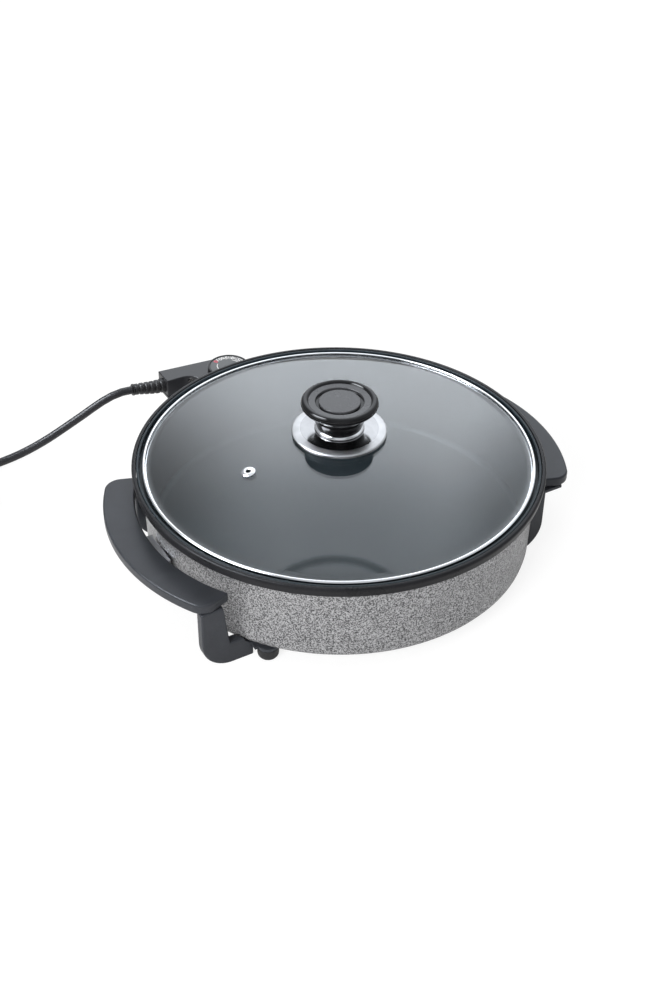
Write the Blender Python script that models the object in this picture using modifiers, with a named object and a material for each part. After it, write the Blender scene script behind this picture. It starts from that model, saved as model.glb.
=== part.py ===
"""Round electric grill pan: a pan on four legs, a lift-off glass lid and a plug-in thermostat with its cord.

Metres, +Z up. The pan stands on z = 0. Its axis lies behind the origin by half of what the thermostat
reaches past the rim, so that the origin is the middle of the footprint without the cord.
"""

import math

import bmesh
import bpy
from mathutils import Vector

# Fits and helpers
GAP = 0.0003
RUNNING = 0.0006
OVERRUN = 0.002
MERGE = 0.00001
ROUND_STEPS = 48
KNOB_STEPS = 32
HIDDEN_STEPS = 24
SMALL_STEPS = 12
NUT_SIDES = 6
SMOOTH_ANGLE = math.radians(35)
EDGE_STEPS = 2
PLAIN_EDGE_STEPS = 1

# Pan
PAN_RADIUS = 0.1515
PAN_TAPER = 0.0012
PAN_WALL = 0.0025
PAN_BASE = 0.003
PAN_CLEARANCE = 0.013
PAN_OUTER_CORNER = 0.006
PAN_INNER_CORNER = 0.005
PAN_CORNER_STEPS = 3
FLANGE_STEP = 0.0037
FLANGE_WALL = 0.002
FLANGE_THICKNESS = 0.0023
FLANGE_FILLET = 0.002
FLANGE_ROUNDING = 0.0005
LEDGE_DEPTH = 0.0057
RIM_OVERHANG = 0.0036
RIM_TOP = 0.085
RIM_HEIGHT = 0.0074
RIM_ROUNDING = 0.0014
RIM_LEAN = 0.0005

# Studs and nuts under the pan
STUD_RADIUS = 0.0016
STUD_SINK = 0.001
NUT_RADIUS = 0.003
NUT_THICKNESS = 0.0022
NUT_RAISE = 0.0009

# Heating element and reflector
ELEMENT_RADIUS = 0.0035
ELEMENT_INSET = 0.0635
ELEMENT_OPENING = math.radians(28)
ELEMENT_LOOP_STEPS = 24
ELEMENT_LEAD_STEPS = 5
REFLECTOR_INSET = 0.0475
REFLECTOR_WALL = 0.0008
REFLECTOR_SLOPE = 0.004
REFLECTOR_LIP = 0.004
REFLECTOR_RAISE = 0.0035
REFLECTOR_NOTCH = 0.026

# Inlet guard, terminal pins and probe well
PIN_SPACING = 0.022
PIN_RADIUS = 0.002
PIN_REACH = 0.014
GUARD_STANDOFF = 0.0005
GUARD_WALL = 0.0022
GUARD_DEPTH = 0.018
EAR_LENGTH = 0.022
EAR_WIDTH = 0.0075
EAR_THICKNESS = 0.0032
WELL_RADIUS = 0.0042
WELL_WALL = 0.0012
WELL_LENGTH = 0.04
PIN_HOLE_CLEARANCE = 0.0006

# Handles
GRIP_CLEARANCE = 0.0007
GRIP_DEPTH = 0.025
GRIP_OUTER_ARC = 0.153
GRIP_INNER_ARC = 0.1394
GRIP_HALF_WIDTH = 0.0839
GRIP_CORNER = 0.013
GRIP_END_SLOPE = math.radians(20)
GRIP_TOP = 0.0619
GRIP_THICKNESS = 0.008
GRIP_EDGE = 0.0014
GRIP_ARC_STEPS = 14
GRIP_CORNER_STEPS = 5
BRACKET_WIDTH = 0.034
BRACKET_THICKNESS = 0.0015
BRACKET_DROP = 0.022
BRACKET_SCREW_INSET = 0.008
SCREW_RADIUS = 0.002
SCREW_HEAD_RADIUS = 0.0038
SCREW_HEAD_HEIGHT = 0.0022
SCREW_GRIP_DEPTH = 0.0055

# Legs and feet
LEG_REACH = 0.0081
LEG_THICKNESS = 0.008
LEG_TOP_WIDTH = 0.0177
LEG_ARM_WIDTH = 0.0216
LEG_ARM_HEIGHT = 0.019
LEG_CORNER = 0.023
LEG_CORNER_STEPS = 6
LEG_WALL_CLEARANCE = 0.0005
LEG_EDGE = 0.001
LEG_PEG_RADIUS = 0.003
LEG_PEG_HEIGHT = 0.004
LEG_TUCK = 0.0204
LEG_SHELF_THICKNESS = 0.0024
LEG_SHELF_BORDER = 0.0006
TAB_THICKNESS = 0.0027
FOOT_RADIUS = 0.008
FOOT_ROUNDING = 0.0042
FOOT_ROUNDING_STEPS = 4
FOOT_INSET = 0.0083
FOOT_ANGLE = math.radians(39.1)
LEG_END_CLEARANCE = 0.0005

# Lid
LID_CLEARANCE = 0.0022
LID_RING_WALL = 0.0008
LID_RING_TOP_LIP = 0.0026
LID_RING_BOTTOM_LIP = 0.0038
LID_RING_ROUNDING = 0.001
GLASS_THICKNESS = 0.003
GLASS_RIM_WIDTH = 0.0035
GLASS_RISE = 0.0234
GLASS_STEPS = 5
VENT_RADIUS = 0.0808
VENT_ANGLE = math.radians(183.8)
VENT_HOLE = 0.0018
VENT_TUBE = 0.0031
VENT_FLANGE = 0.0054
VENT_LOWER_FLANGE = 0.0046
VENT_FLANGE_HEIGHT = 0.0011
VENT_FLANGE_EDGE = 0.0004

# Lid knob
KNOB_BORE = 0.0026
KNOB_GASKET_RADIUS = 0.034
KNOB_GASKET_HEIGHT = 0.0009
KNOB_FLANGE_RADIUS = 0.0364
KNOB_FLANGE_WALL = 0.0012
KNOB_FLANGE_RISE = 0.0005
KNOB_FLANGE_SKIRT = 0.0034
KNOB_FLANGE_ROUNDING = 0.0006
KNOB_COLLAR_RADIUS = 0.019
KNOB_COLLAR_TAPER = 0.0014
KNOB_COLLAR_HEIGHT = 0.0026
KNOB_NECK_RADIUS = 0.0212
KNOB_NECK_HEIGHT = 0.0102
KNOB_FLARE_HEIGHT = 0.0056
KNOB_RADIUS = 0.0294
KNOB_RIM_RADIUS = 0.0032
KNOB_RIM_STEPS = 8
KNOB_FACE_DROP = 0.0018
KNOB_GROOVE_RADIUS = 0.0184
KNOB_CAP_RADIUS = 0.0158
KNOB_CAP_THICKNESS = 0.0016
KNOB_CAP_EDGE = 0.0006
KNOB_GROOVE_DEPTH = 0.0018
WASHER_RADIUS = 0.012
WASHER_THICKNESS = 0.0012

# Thermostat control
CONTROL_TOP = 0.0485
CONTROL_BOTTOM = 0.0026
CONTROL_SPLIT = 0.0325
CONTROL_STANDOFF = 0.0117
CONTROL_HALF_WIDTH = 0.022
CONTROL_DEPTH = 0.0601
CONTROL_BACK_ANGLE = math.radians(5.3)
CONTROL_WALL = 0.0022
CONTROL_CORNER = 0.007
CONTROL_CORNER_STEPS = 4
CONTROL_EDGE = 0.0008
HEAD_STEP = 0.0006
ARM_END = 0.0497
ARM_DEPTH = 0.0192
ARM_HEIGHT = 0.0182
ARM_FILLET = 0.014
ARM_FILLET_STEPS = 6
NOSE_LENGTH = 0.0145
NOSE_BOTTOM = 0.0046
NOSE_TOP = 0.0209
SLEEVE_WALL = 0.0009
SLEEVE_LENGTH = 0.02
PROBE_RADIUS = 0.0025
PROBE_TIP = 0.0012
PROBE_TAIL = 0.012
SWITCH_HALF_WIDTH = 0.016
SWITCH_DEPTH = 0.026
SWITCH_HEIGHT = 0.016
SWITCH_EDGE = 0.0008
BLADE_THICKNESS = 0.001
BLADE_WIDTH = 0.005
BLADE_OFFSET = 0.0075
LENS_RADIUS = 0.0022
LENS_PROUD = 0.0008
LENS_DROP = 0.0042
LENS_ANGLE = math.radians(55)

# Dial
DIAL_OFFSET = 0.02
DIAL_RADIUS = 0.0178
DIAL_SKIRT_RADIUS = 0.0187
DIAL_HEIGHT = 0.0126
DIAL_BEZEL = 0.0016
DIAL_FACE_DROP = 0.0004
DIAL_FACE_THICKNESS = 0.001
DIAL_EDGE = 0.0005
SPINDLE_RADIUS = 0.003
SPINDLE_TAIL_RADIUS = 0.0018
SPINDLE_TAIL = 0.005
SPINDLE_SOCKET = 0.008
CAM_RADIUS = 0.011
CAM_THICKNESS = 0.0025

# Strain relief and cord
CORD_DIAMETER = 0.007
RELIEF_ROOT_RADIUS = 0.0064
RELIEF_END_RADIUS = 0.0047
RELIEF_RIB = 0.0008
RELIEF_RIBS = 6
RELIEF_NECK_RADIUS = 0.0036
RELIEF_LIP = 0.0006
RIB_SHARES = ((0.0, True), (0.55, True), (0.62, False), (0.93, False))
CORD_FINE_STEP = 0.016
COIL_TURNS = 4.25
COIL_LOOP_POINTS = 24
COIL_MEAN_RADIUS = 0.0385
COIL_PITCH = 0.0079
COIL_LAYER = 0.0079
GAP_CHECK_SHARES = 4
TIE_THICKNESS = 0.001
TIE_WIDTH = 0.009
TIE_ANGLE = math.radians(-60)
TIE_CORNER = 0.0028
TIE_CORNER_STEPS = 3
PLUG_RADIUS = 0.0185
PLUG_FACE_LENGTH = 0.014
PLUG_WAIST_RADIUS = 0.0125
PLUG_LENGTH = 0.042
PLUG_EDGE = 0.0015
PLUG_GLAND_RADIUS = 0.0052
PLUG_PIN_RADIUS = 0.0024
PLUG_PIN_SPACING = 0.019
PLUG_PIN_LENGTH = 0.019
PLUG_PIN_SINK = 0.008
TAIL_LENGTH = 0.045
TAIL_STEPS = 8

# The relief and the free cord, as places from the floor below the arm's outer rear corner
RELIEF_PLACES = [
    (-0.0003, -0.0097, 0.0394),
    (-0.0073, -0.0097, 0.0399),
    (-0.0143, -0.0095, 0.0409),
    (-0.0213, -0.0092, 0.0421),
    (-0.0288, -0.0087, 0.0430),
]
CORD_PLACES = [
    (-0.0291, -0.0087, 0.0430),
    (-0.0383, -0.0080, 0.0432),
    (-0.0473, -0.0070, 0.0414),
    (-0.0563, -0.0058, 0.0378),
    (-0.0653, -0.0048, 0.0333),
    (-0.0743, -0.0042, 0.0288),
    (-0.0843, -0.0038, 0.0243),
    (-0.0953, -0.0036, 0.0196),
    (-0.1073, -0.0036, 0.0150),
    (-0.1203, -0.0036, 0.0109),
    (-0.1343, -0.0036, 0.0076),
    (-0.1493, -0.0036, 0.0056),
    (-0.1653, -0.0036, 0.0048),
    (-0.1833, -0.0036, 0.0048),
    (-0.2003, -0.0036, 0.0048),
    (-0.2170, -0.0036, 0.0048),
]

# Places that follow from the sizes above
FLANGE_RADIUS = PAN_RADIUS + FLANGE_STEP
RIM_RADIUS = FLANGE_RADIUS + RIM_OVERHANG
ELEMENT_LOOP = PAN_RADIUS - ELEMENT_INSET
REFLECTOR_RADIUS = PAN_RADIUS - REFLECTOR_INSET
GUARD_BACK = PAN_RADIUS + GUARD_STANDOFF
GRIP_INNER_REACH = RIM_RADIUS + GRIP_CLEARANCE
GRIP_REACH = GRIP_INNER_REACH + GRIP_DEPTH
LEG_OUTER = PAN_RADIUS + LEG_REACH
FOOT_CIRCLE = PAN_RADIUS - FOOT_INSET
LID_RING_RADIUS = FLANGE_RADIUS - FLANGE_WALL - LID_CLEARANCE
CONTROL_FRONT = RIM_RADIUS + CONTROL_STANDOFF
CONTROL_BACK = CONTROL_FRONT + CONTROL_DEPTH
AXIS_Y = -(CONTROL_BACK - RIM_RADIUS) / 2
LEDGE_TOP = RIM_TOP - LEDGE_DEPTH
BASE_TOP = PAN_CLEARANCE + PAN_BASE
ELEMENT_Z = PAN_CLEARANCE - GAP - ELEMENT_RADIUS
WELL_Z = PAN_CLEARANCE - GAP - WELL_RADIUS
RING_BOTTOM = LEDGE_TOP + GAP
GLASS_EDGE_BOTTOM = RING_BOTTOM + LID_RING_WALL + GAP
GLASS_EDGE_TOP = GLASS_EDGE_BOTTOM + GLASS_THICKNESS
GLASS_RADIUS = LID_RING_RADIUS - LID_RING_WALL - GAP
DOME_RADIUS = GLASS_RADIUS - GLASS_RIM_WIDTH
DOME_SPHERE = (DOME_RADIUS**2 + GLASS_RISE**2) / (2 * GLASS_RISE)
GLASS_TOP = GLASS_EDGE_TOP + GLASS_RISE
GRIP_BOTTOM = GRIP_TOP - GRIP_THICKNESS
ARM_BOTTOM = CONTROL_TOP - ARM_HEIGHT
NOSE_HALF_WIDTH = CONTROL_HALF_WIDTH - 2 * HEAD_STEP
DIAL_Y = CONTROL_FRONT + DIAL_OFFSET
DIAL_BASE = CONTROL_TOP + GAP
DIAL_TOP = DIAL_BASE + DIAL_HEIGHT
NOSE_FRONT = CONTROL_FRONT - NOSE_LENGTH
RELIEF_ROUTE = [(x - ARM_END, y + CONTROL_BACK, z) for x, y, z in RELIEF_PLACES]
CORD_ROUTE = [(x - ARM_END, y + CONTROL_BACK, z) for x, y, z in CORD_PLACES]
COIL_CENTRE = (CORD_ROUTE[-1][0] - CORD_DIAMETER - GAP, CORD_ROUTE[-1][1])


def clear_scene():
    for thing in list(bpy.data.objects):
        bpy.data.objects.remove(thing)


def collection(name):
    group = bpy.data.collections.new(name)
    bpy.context.scene.collection.children.link(group)
    return group


def finish(name, colour, roughness, metallic=0.0, transmission=0.0):
    """A material of one plain finish."""
    surface = bpy.data.materials.new(name)
    surface.use_nodes = True
    shader = surface.node_tree.nodes["Principled BSDF"]
    shader.inputs["Base Color"].default_value = (*colour, 1.0)
    shader.inputs["Roughness"].default_value = roughness
    shader.inputs["Metallic"].default_value = metallic
    shader.inputs["Transmission Weight"].default_value = transmission
    surface.diffuse_color = (*colour, 1.0)
    return surface


def place(name, data, surface, parent, location=(0, 0, 0), rotation=(0, 0, 0)):
    """An object among the parts, or among the cutters when it has no finish."""
    thing = bpy.data.objects.new(name, data)
    if surface is None:
        CUTTERS.objects.link(thing)
        thing.hide_render = True
        thing.display_type = "WIRE"
    else:
        PARTS.objects.link(thing)
        data.materials.append(surface)
    thing.parent = parent
    thing.location = location
    thing.rotation_euler = rotation
    return thing


def mesh_from(name, work):
    mesh = bpy.data.meshes.new(name)
    work.to_mesh(mesh)
    work.free()
    return mesh


def axis_empty(name, location, parent=None):
    empty = bpy.data.objects.new(name, None)
    PARTS.objects.link(empty)
    empty.empty_display_size = PAN_BASE
    empty.parent = parent
    empty.location = location
    return empty


def box(name, low, high, surface, parent):
    """A box between two corners."""
    work = bmesh.new()
    bmesh.ops.create_cube(work, size=1)
    size = Vector(high) - Vector(low)
    bmesh.ops.scale(work, vec=size, verts=work.verts)
    middle = (Vector(low) + Vector(high)) / 2
    return place(name, mesh_from(name, work), surface, parent, middle)


def rod(name, radius, start, end, surface, parent, steps=SMALL_STEPS):
    """A round bar between two points."""
    start, end = Vector(start), Vector(end)
    work = bmesh.new()
    bmesh.ops.create_cone(
        work,
        cap_ends=True,
        segments=steps,
        radius1=radius,
        radius2=radius,
        depth=(end - start).length,
    )
    turn = (end - start).to_track_quat("Z", "Y").to_euler()
    return place(name, mesh_from(name, work), surface, parent, (start + end) / 2, turn)


def turned(name, profile, surface, parent, steps, location=(0, 0, 0), rotation=(0, 0, 0)):
    """A profile of (radius, height) turned about Z, run down its outer side.

    It closes unless it starts on the axis.
    """
    work = bmesh.new()
    points = [work.verts.new((radius, 0, height)) for radius, height in profile]
    for first, second in zip(points, points[1:]):
        work.edges.new((first, second))
    if profile[0][0] > 0:
        work.edges.new((points[-1], points[0]))
    thing = place(name, mesh_from(name, work), surface, parent, location, rotation)
    screw = thing.modifiers.new("Turn", "SCREW")
    screw.steps = steps
    screw.render_steps = steps
    screw.use_merge_vertices = True
    screw.merge_threshold = MERGE
    return thing


def plate(name, outline, thickness, surface, parent, location=(0, 0, 0), rotation=(0, 0, 0)):
    """A closed outline in XY with its thickness centred on its plane."""
    curve = bpy.data.curves.new(name, "CURVE")
    curve.dimensions = "2D"
    curve.fill_mode = "BOTH"
    curve.extrude = thickness / 2
    spline = curve.splines.new("POLY")
    spline.points.add(len(outline) - 1)
    for point, (x, y) in zip(spline.points, outline):
        point.co = (x, y, 0, 1)
    spline.use_cyclic_u = True
    guide = bpy.data.objects.new(name + "_outline", curve)
    PARTS.objects.link(guide)
    bpy.context.view_layer.update()
    graph = bpy.context.evaluated_depsgraph_get()
    mesh = bpy.data.meshes.new_from_object(guide.evaluated_get(graph))
    bpy.data.objects.remove(guide)
    bpy.data.curves.remove(curve)
    work = bmesh.new()
    work.from_mesh(mesh)
    bmesh.ops.remove_doubles(work, verts=work.verts, dist=MERGE)
    bmesh.ops.recalc_face_normals(work, faces=work.faces)
    if work.calc_volume(signed=True) < 0:
        bmesh.ops.reverse_faces(work, faces=work.faces)
    work.to_mesh(mesh)
    work.free()
    return place(name, mesh, surface, parent, location, rotation)


def tube(name, points, radius, surface, parent, resolution=2, widths=None):
    """A round tube with capped ends along straight steps between points."""
    curve = bpy.data.curves.new(name, "CURVE")
    curve.dimensions = "3D"
    curve.bevel_depth = radius
    curve.bevel_resolution = resolution
    curve.use_fill_caps = True
    spline = curve.splines.new("POLY")
    spline.points.add(len(points) - 1)
    for point, place_at in zip(spline.points, points):
        point.co = (*place_at, 1)
    for point, width in zip(spline.points, widths or []):
        point.radius = width
    return place(name, curve, surface, parent)


def boolean(thing, other, operation):
    modifier = thing.modifiers.new(other.name, "BOOLEAN")
    modifier.operation = operation
    modifier.object = other


def cut(thing, *cutters):
    for cutter in cutters:
        boolean(thing, cutter, "DIFFERENCE")


def join(thing, *helpers):
    for helper in helpers:
        boolean(thing, helper, "UNION")


def bevel(thing, width, steps=EDGE_STEPS):
    modifier = thing.modifiers.new("Edges", "BEVEL")
    modifier.width = width
    modifier.segments = steps
    modifier.limit_method = "ANGLE"
    modifier.angle_limit = math.radians(50)


def arc(centre, radius, start, end, steps):
    """Points on a circle from one angle to another, in degrees."""
    turn = (end - start) / steps
    angles = [math.radians(start + turn * i) for i in range(steps + 1)]
    return [(centre[0] + radius * math.cos(a), centre[1] + radius * math.sin(a)) for a in angles]


def smooth_route(points, step):
    """A smooth curve through a route's points, read at a steady step."""
    fine = []
    padded = [points[0], *points, points[-1]]
    padded = [Vector(p) for p in padded]
    padded[0] = 2 * padded[1] - padded[2]
    padded[-1] = 2 * padded[-2] - padded[-3]
    for before, start, end, after in zip(padded, padded[1:], padded[2:], padded[3:]):
        count = max(1, round((end - start).length / step))
        for i in range(count):
            t = i / count
            fine.append(
                start
                + (end - before) * (t / 2)
                + (2 * before - 5 * start + 4 * end - after) * (t * t / 2)
                + (3 * start - before - 3 * end + after) * (t**3 / 2)
            )
    fine.append(padded[-2])
    return fine


def dome(radius):
    """Height of the glass's upper side at this radius."""
    return GLASS_TOP - DOME_SPHERE + math.sqrt(DOME_SPHERE**2 - radius**2)


def leg_tuck(x_side, y_side):
    """How much nearer to the middle a leg stands: two legs that face each other across the pan do."""
    return LEG_TUCK if x_side != y_side else 0


def foot_place(x_side, y_side):
    return (
        x_side * (FOOT_CIRCLE * math.cos(FOOT_ANGLE) - leg_tuck(x_side, y_side)),
        y_side * FOOT_CIRCLE * math.sin(FOOT_ANGLE),
    )


CORNERS = {
    "front_left": (-1, -1),
    "front_right": (1, -1),
    "rear_left": (-1, 1),
    "rear_right": (1, 1),
}


def wall_radius(height):
    """Outer radius of the pan's wall at a height."""
    low = PAN_CLEARANCE + PAN_OUTER_CORNER
    high = LEDGE_TOP - FLANGE_THICKNESS - FLANGE_FILLET
    return PAN_RADIUS - PAN_TAPER * (high - height) / (high - low)


def stud(name, x, y, bottom):
    """A stud that joins the pan's underside."""
    top = PAN_CLEARANCE + STUD_SINK
    return rod(name, STUD_RADIUS, (x, y, bottom), (x, y, top), None, PAN_AXIS)


def nut(name, x, y, bottom, surface):
    hole = STUD_RADIUS / math.cos(math.pi / NUT_SIDES) + GAP
    top = bottom + NUT_THICKNESS
    profile = [(hole, top), (NUT_RADIUS, top), (NUT_RADIUS, bottom), (hole, bottom)]
    turned(name, profile, surface, PAN_AXIS, NUT_SIDES, (x, y, 0))


def pan():
    low_radius = wall_radius(PAN_CLEARANCE + PAN_OUTER_CORNER)
    shelf = LEDGE_TOP - FLANGE_THICKNESS
    inner = FLANGE_RADIUS - FLANGE_WALL
    profile = [(0, BASE_TOP)]
    corner = (low_radius - PAN_WALL - PAN_INNER_CORNER, BASE_TOP + PAN_INNER_CORNER)
    profile += arc(corner, PAN_INNER_CORNER, -90, 0, PAN_CORNER_STEPS)
    profile += [
        (PAN_RADIUS - PAN_WALL, LEDGE_TOP),
        (inner, LEDGE_TOP),
        (inner, RIM_TOP - GAP - FLANGE_ROUNDING),
        (inner + FLANGE_ROUNDING, RIM_TOP - GAP),
        (FLANGE_RADIUS - FLANGE_ROUNDING, RIM_TOP - GAP),
        (FLANGE_RADIUS, RIM_TOP - GAP - FLANGE_ROUNDING),
        (FLANGE_RADIUS, shelf + FLANGE_ROUNDING),
        (FLANGE_RADIUS - FLANGE_ROUNDING, shelf),
        (PAN_RADIUS + FLANGE_ROUNDING, shelf),
        (PAN_RADIUS, shelf - FLANGE_FILLET),
    ]
    corner = (low_radius - PAN_OUTER_CORNER, PAN_CLEARANCE + PAN_OUTER_CORNER)
    profile += arc(corner, PAN_OUTER_CORNER, 0, -90, PAN_CORNER_STEPS)
    profile += [(STUD_RADIUS, PAN_CLEARANCE), (STUD_RADIUS, NUT_RAISE), (0, NUT_RAISE)]
    body = turned("pan_body", profile, FINISHES["hammered"], PAN_AXIS, ROUND_STEPS)
    for corner_name, sides in CORNERS.items():
        x, y = foot_place(*sides)
        join(body, stud("foot_stud_" + corner_name, x, y, NUT_RAISE))
        nut("foot_nut_" + corner_name, x, y, NUT_RAISE, FINISHES["steel"])
    nut("reflector_nut", 0, 0, NUT_RAISE, FINISHES["steel"])

    low = RIM_TOP - RIM_HEIGHT
    band = FLANGE_RADIUS + GAP
    trim = [
        (band, RIM_TOP - RIM_LEAN),
        (band + RIM_LEAN, RIM_TOP),
        (RIM_RADIUS - RIM_ROUNDING, RIM_TOP),
        (RIM_RADIUS - RIM_LEAN, RIM_TOP - RIM_LEAN),
        (RIM_RADIUS, RIM_TOP - RIM_ROUNDING),
        (RIM_RADIUS - RIM_LEAN, low + RIM_LEAN),
        (RIM_RADIUS - 2 * RIM_LEAN, low),
        (band, low),
    ]
    turned("rim_trim", trim, FINISHES["coating"], PAN_AXIS, ROUND_STEPS)


def heating():
    half = PIN_SPACING / 2
    side = [Vector((half, GUARD_BACK - GAP))]
    opening = math.degrees(ELEMENT_OPENING)
    loop = arc((0, 0), ELEMENT_LOOP, 90 - opening, -270 + opening, ELEMENT_LOOP_STEPS)
    start = side[0] - Vector((0, 2 * ELEMENT_RADIUS))
    bend = Vector((half, ELEMENT_LOOP + PAN_CLEARANCE))
    first = Vector(loop[0])
    for i in range(ELEMENT_LEAD_STEPS):
        t = i / ELEMENT_LEAD_STEPS
        side.append((1 - t) ** 2 * start + 2 * t * (1 - t) * bend + t * t * first)
    points = [(x, y, ELEMENT_Z) for x, y in side]
    points += [(x, y, ELEMENT_Z) for x, y in loop]
    points += [(-x, y, ELEMENT_Z) for x, y in reversed(side)]
    tube("heating_element", points, ELEMENT_RADIUS, FINISHES["sheath"], PAN_AXIS)

    rim = PAN_CLEARANCE - GAP
    edge = REFLECTOR_RADIUS + REFLECTOR_SLOPE
    lip = edge + REFLECTOR_LIP
    hole = STUD_RADIUS + RUNNING
    profile = [
        (hole, REFLECTOR_RAISE + REFLECTOR_WALL),
        (REFLECTOR_RADIUS - REFLECTOR_WALL, REFLECTOR_RAISE + REFLECTOR_WALL),
        (edge - REFLECTOR_WALL, rim),
        (lip, rim),
        (lip, rim - REFLECTOR_WALL),
        (edge, rim - REFLECTOR_WALL),
        (REFLECTOR_RADIUS, REFLECTOR_RAISE),
        (hole, REFLECTOR_RAISE),
    ]
    dish = turned("reflector_plate", profile, FINISHES["steel"], PAN_AXIS, HIDDEN_STEPS)
    notch = box(
        "reflector_notch",
        (-REFLECTOR_NOTCH, REFLECTOR_RADIUS - PAN_CLEARANCE, REFLECTOR_RAISE - OVERRUN),
        (REFLECTOR_NOTCH, lip + OVERRUN, rim + OVERRUN),
        None,
        PAN_AXIS,
    )
    cut(dish, notch)


def inlet():
    """The guard round the terminals, with the pins and the well that takes the probe."""
    mouth = GUARD_BACK + GUARD_DEPTH
    inner_x = NOSE_HALF_WIDTH + RUNNING
    inner_low = NOSE_BOTTOM - RUNNING
    inner_high = NOSE_TOP + RUNNING
    outer_x = inner_x + GUARD_WALL
    guard = box(
        "inlet_guard",
        (-outer_x, GUARD_BACK, inner_low - GUARD_WALL),
        (outer_x, mouth, inner_high + GUARD_WALL),
        FINISHES["bakelite"],
        PAN_AXIS,
    )
    bevel(guard, CONTROL_EDGE, PLAIN_EDGE_STEPS)
    hollow = box(
        "guard_hollow",
        (-inner_x, GUARD_BACK + GUARD_WALL, inner_low),
        (inner_x, mouth + OVERRUN, inner_high),
        None,
        PAN_AXIS,
    )
    cut(guard, hollow)
    ear_top = PAN_CLEARANCE - GAP
    stud_y = GUARD_BACK - EAR_LENGTH / 2 - GUARD_WALL
    for side, name in ((-1, "left"), (1, "right")):
        near, far = side * (outer_x - EAR_WIDTH), side * outer_x
        ear = box(
            "guard_ear_" + name,
            (min(near, far), GUARD_BACK - EAR_LENGTH, ear_top - EAR_THICKNESS),
            (max(near, far), GUARD_BACK + GUARD_WALL, ear_top),
            None,
            PAN_AXIS,
        )
        join(guard, ear)
        x = side * (outer_x - EAR_WIDTH / 2)
        hole = rod(
            "guard_hole_" + name,
            STUD_RADIUS + RUNNING,
            (x, stud_y, 0),
            (x, stud_y, PAN_CLEARANCE),
            None,
            PAN_AXIS,
        )
        pin_x = side * PIN_SPACING / 2
        pin_hole = rod(
            "guard_pin_hole_" + name,
            PIN_RADIUS + PIN_HOLE_CLEARANCE,
            (pin_x, GUARD_BACK - OVERRUN, ELEMENT_Z),
            (pin_x, GUARD_BACK + GUARD_WALL + OVERRUN, ELEMENT_Z),
            None,
            PAN_AXIS,
        )
        cut(guard, hole, pin_hole)
        lowest = ear_top - EAR_THICKNESS - GAP - NUT_THICKNESS
        join(bpy.data.objects["pan_body"], stud("inlet_stud_" + name, x, stud_y, lowest))
        nut("inlet_nut_" + name, x, stud_y, lowest, FINISHES["steel"])
        rod(
            "terminal_pin_" + name,
            PIN_RADIUS,
            (pin_x, GUARD_BACK, ELEMENT_Z),
            (pin_x, GUARD_BACK + GUARD_WALL + PIN_REACH, ELEMENT_Z),
            FINISHES["steel"],
            PAN_AXIS,
        )
    probe_hole = rod(
        "guard_probe_hole",
        PROBE_RADIUS + PIN_HOLE_CLEARANCE,
        (0, GUARD_BACK - OVERRUN, WELL_Z),
        (0, GUARD_BACK + GUARD_WALL + OVERRUN, WELL_Z),
        None,
        PAN_AXIS,
    )
    cut(guard, probe_hole)
    well_end = GUARD_BACK - GAP
    bore = WELL_RADIUS - WELL_WALL
    profile = [
        (bore, well_end),
        (WELL_RADIUS, well_end),
        (WELL_RADIUS, well_end - WELL_LENGTH),
        (bore, well_end - WELL_LENGTH),
    ]
    along_y = (-math.pi / 2, 0, 0)
    turned("probe_well", profile, FINISHES["steel"], PAN_AXIS, SMALL_STEPS, (0, 0, WELL_Z), along_y)


def grip_outline(side):
    """The crescent of one handle: two arcs with rounded outer corners and slanting ends."""
    outer_centre = GRIP_REACH - GRIP_OUTER_ARC
    inner_centre = GRIP_INNER_REACH - GRIP_INNER_ARC
    corner_y = GRIP_HALF_WIDTH - GRIP_CORNER
    tangent = math.asin(corner_y / (GRIP_OUTER_ARC - GRIP_CORNER))
    corner_x = outer_centre + corner_y / math.tan(tangent)
    sweep = math.degrees(tangent)
    upper = arc((outer_centre, 0), GRIP_OUTER_ARC, 0, sweep, GRIP_ARC_STEPS // 2)
    end_angle = 90 + math.degrees(GRIP_END_SLOPE)
    upper += arc((corner_x, corner_y), GRIP_CORNER, sweep, end_angle, GRIP_CORNER_STEPS)[1:]
    x, y = upper[-1]
    run_x, run_y = -math.cos(GRIP_END_SLOPE), -math.sin(GRIP_END_SLOPE)
    along = (x - inner_centre) * run_x + y * run_y
    miss = (x - inner_centre) ** 2 + y**2 - GRIP_INNER_ARC**2
    reach = -along - math.sqrt(along**2 - miss)
    meet = (x + reach * run_x, y + reach * run_y)
    inner_sweep = math.degrees(math.atan2(meet[1], meet[0] - inner_centre))
    upper += arc((inner_centre, 0), GRIP_INNER_ARC, inner_sweep, 0, GRIP_ARC_STEPS // 2)
    lower = [(px, -py) for px, py in reversed(upper[1:-1])]
    return [(side * px, py) for px, py in upper + lower]


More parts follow.
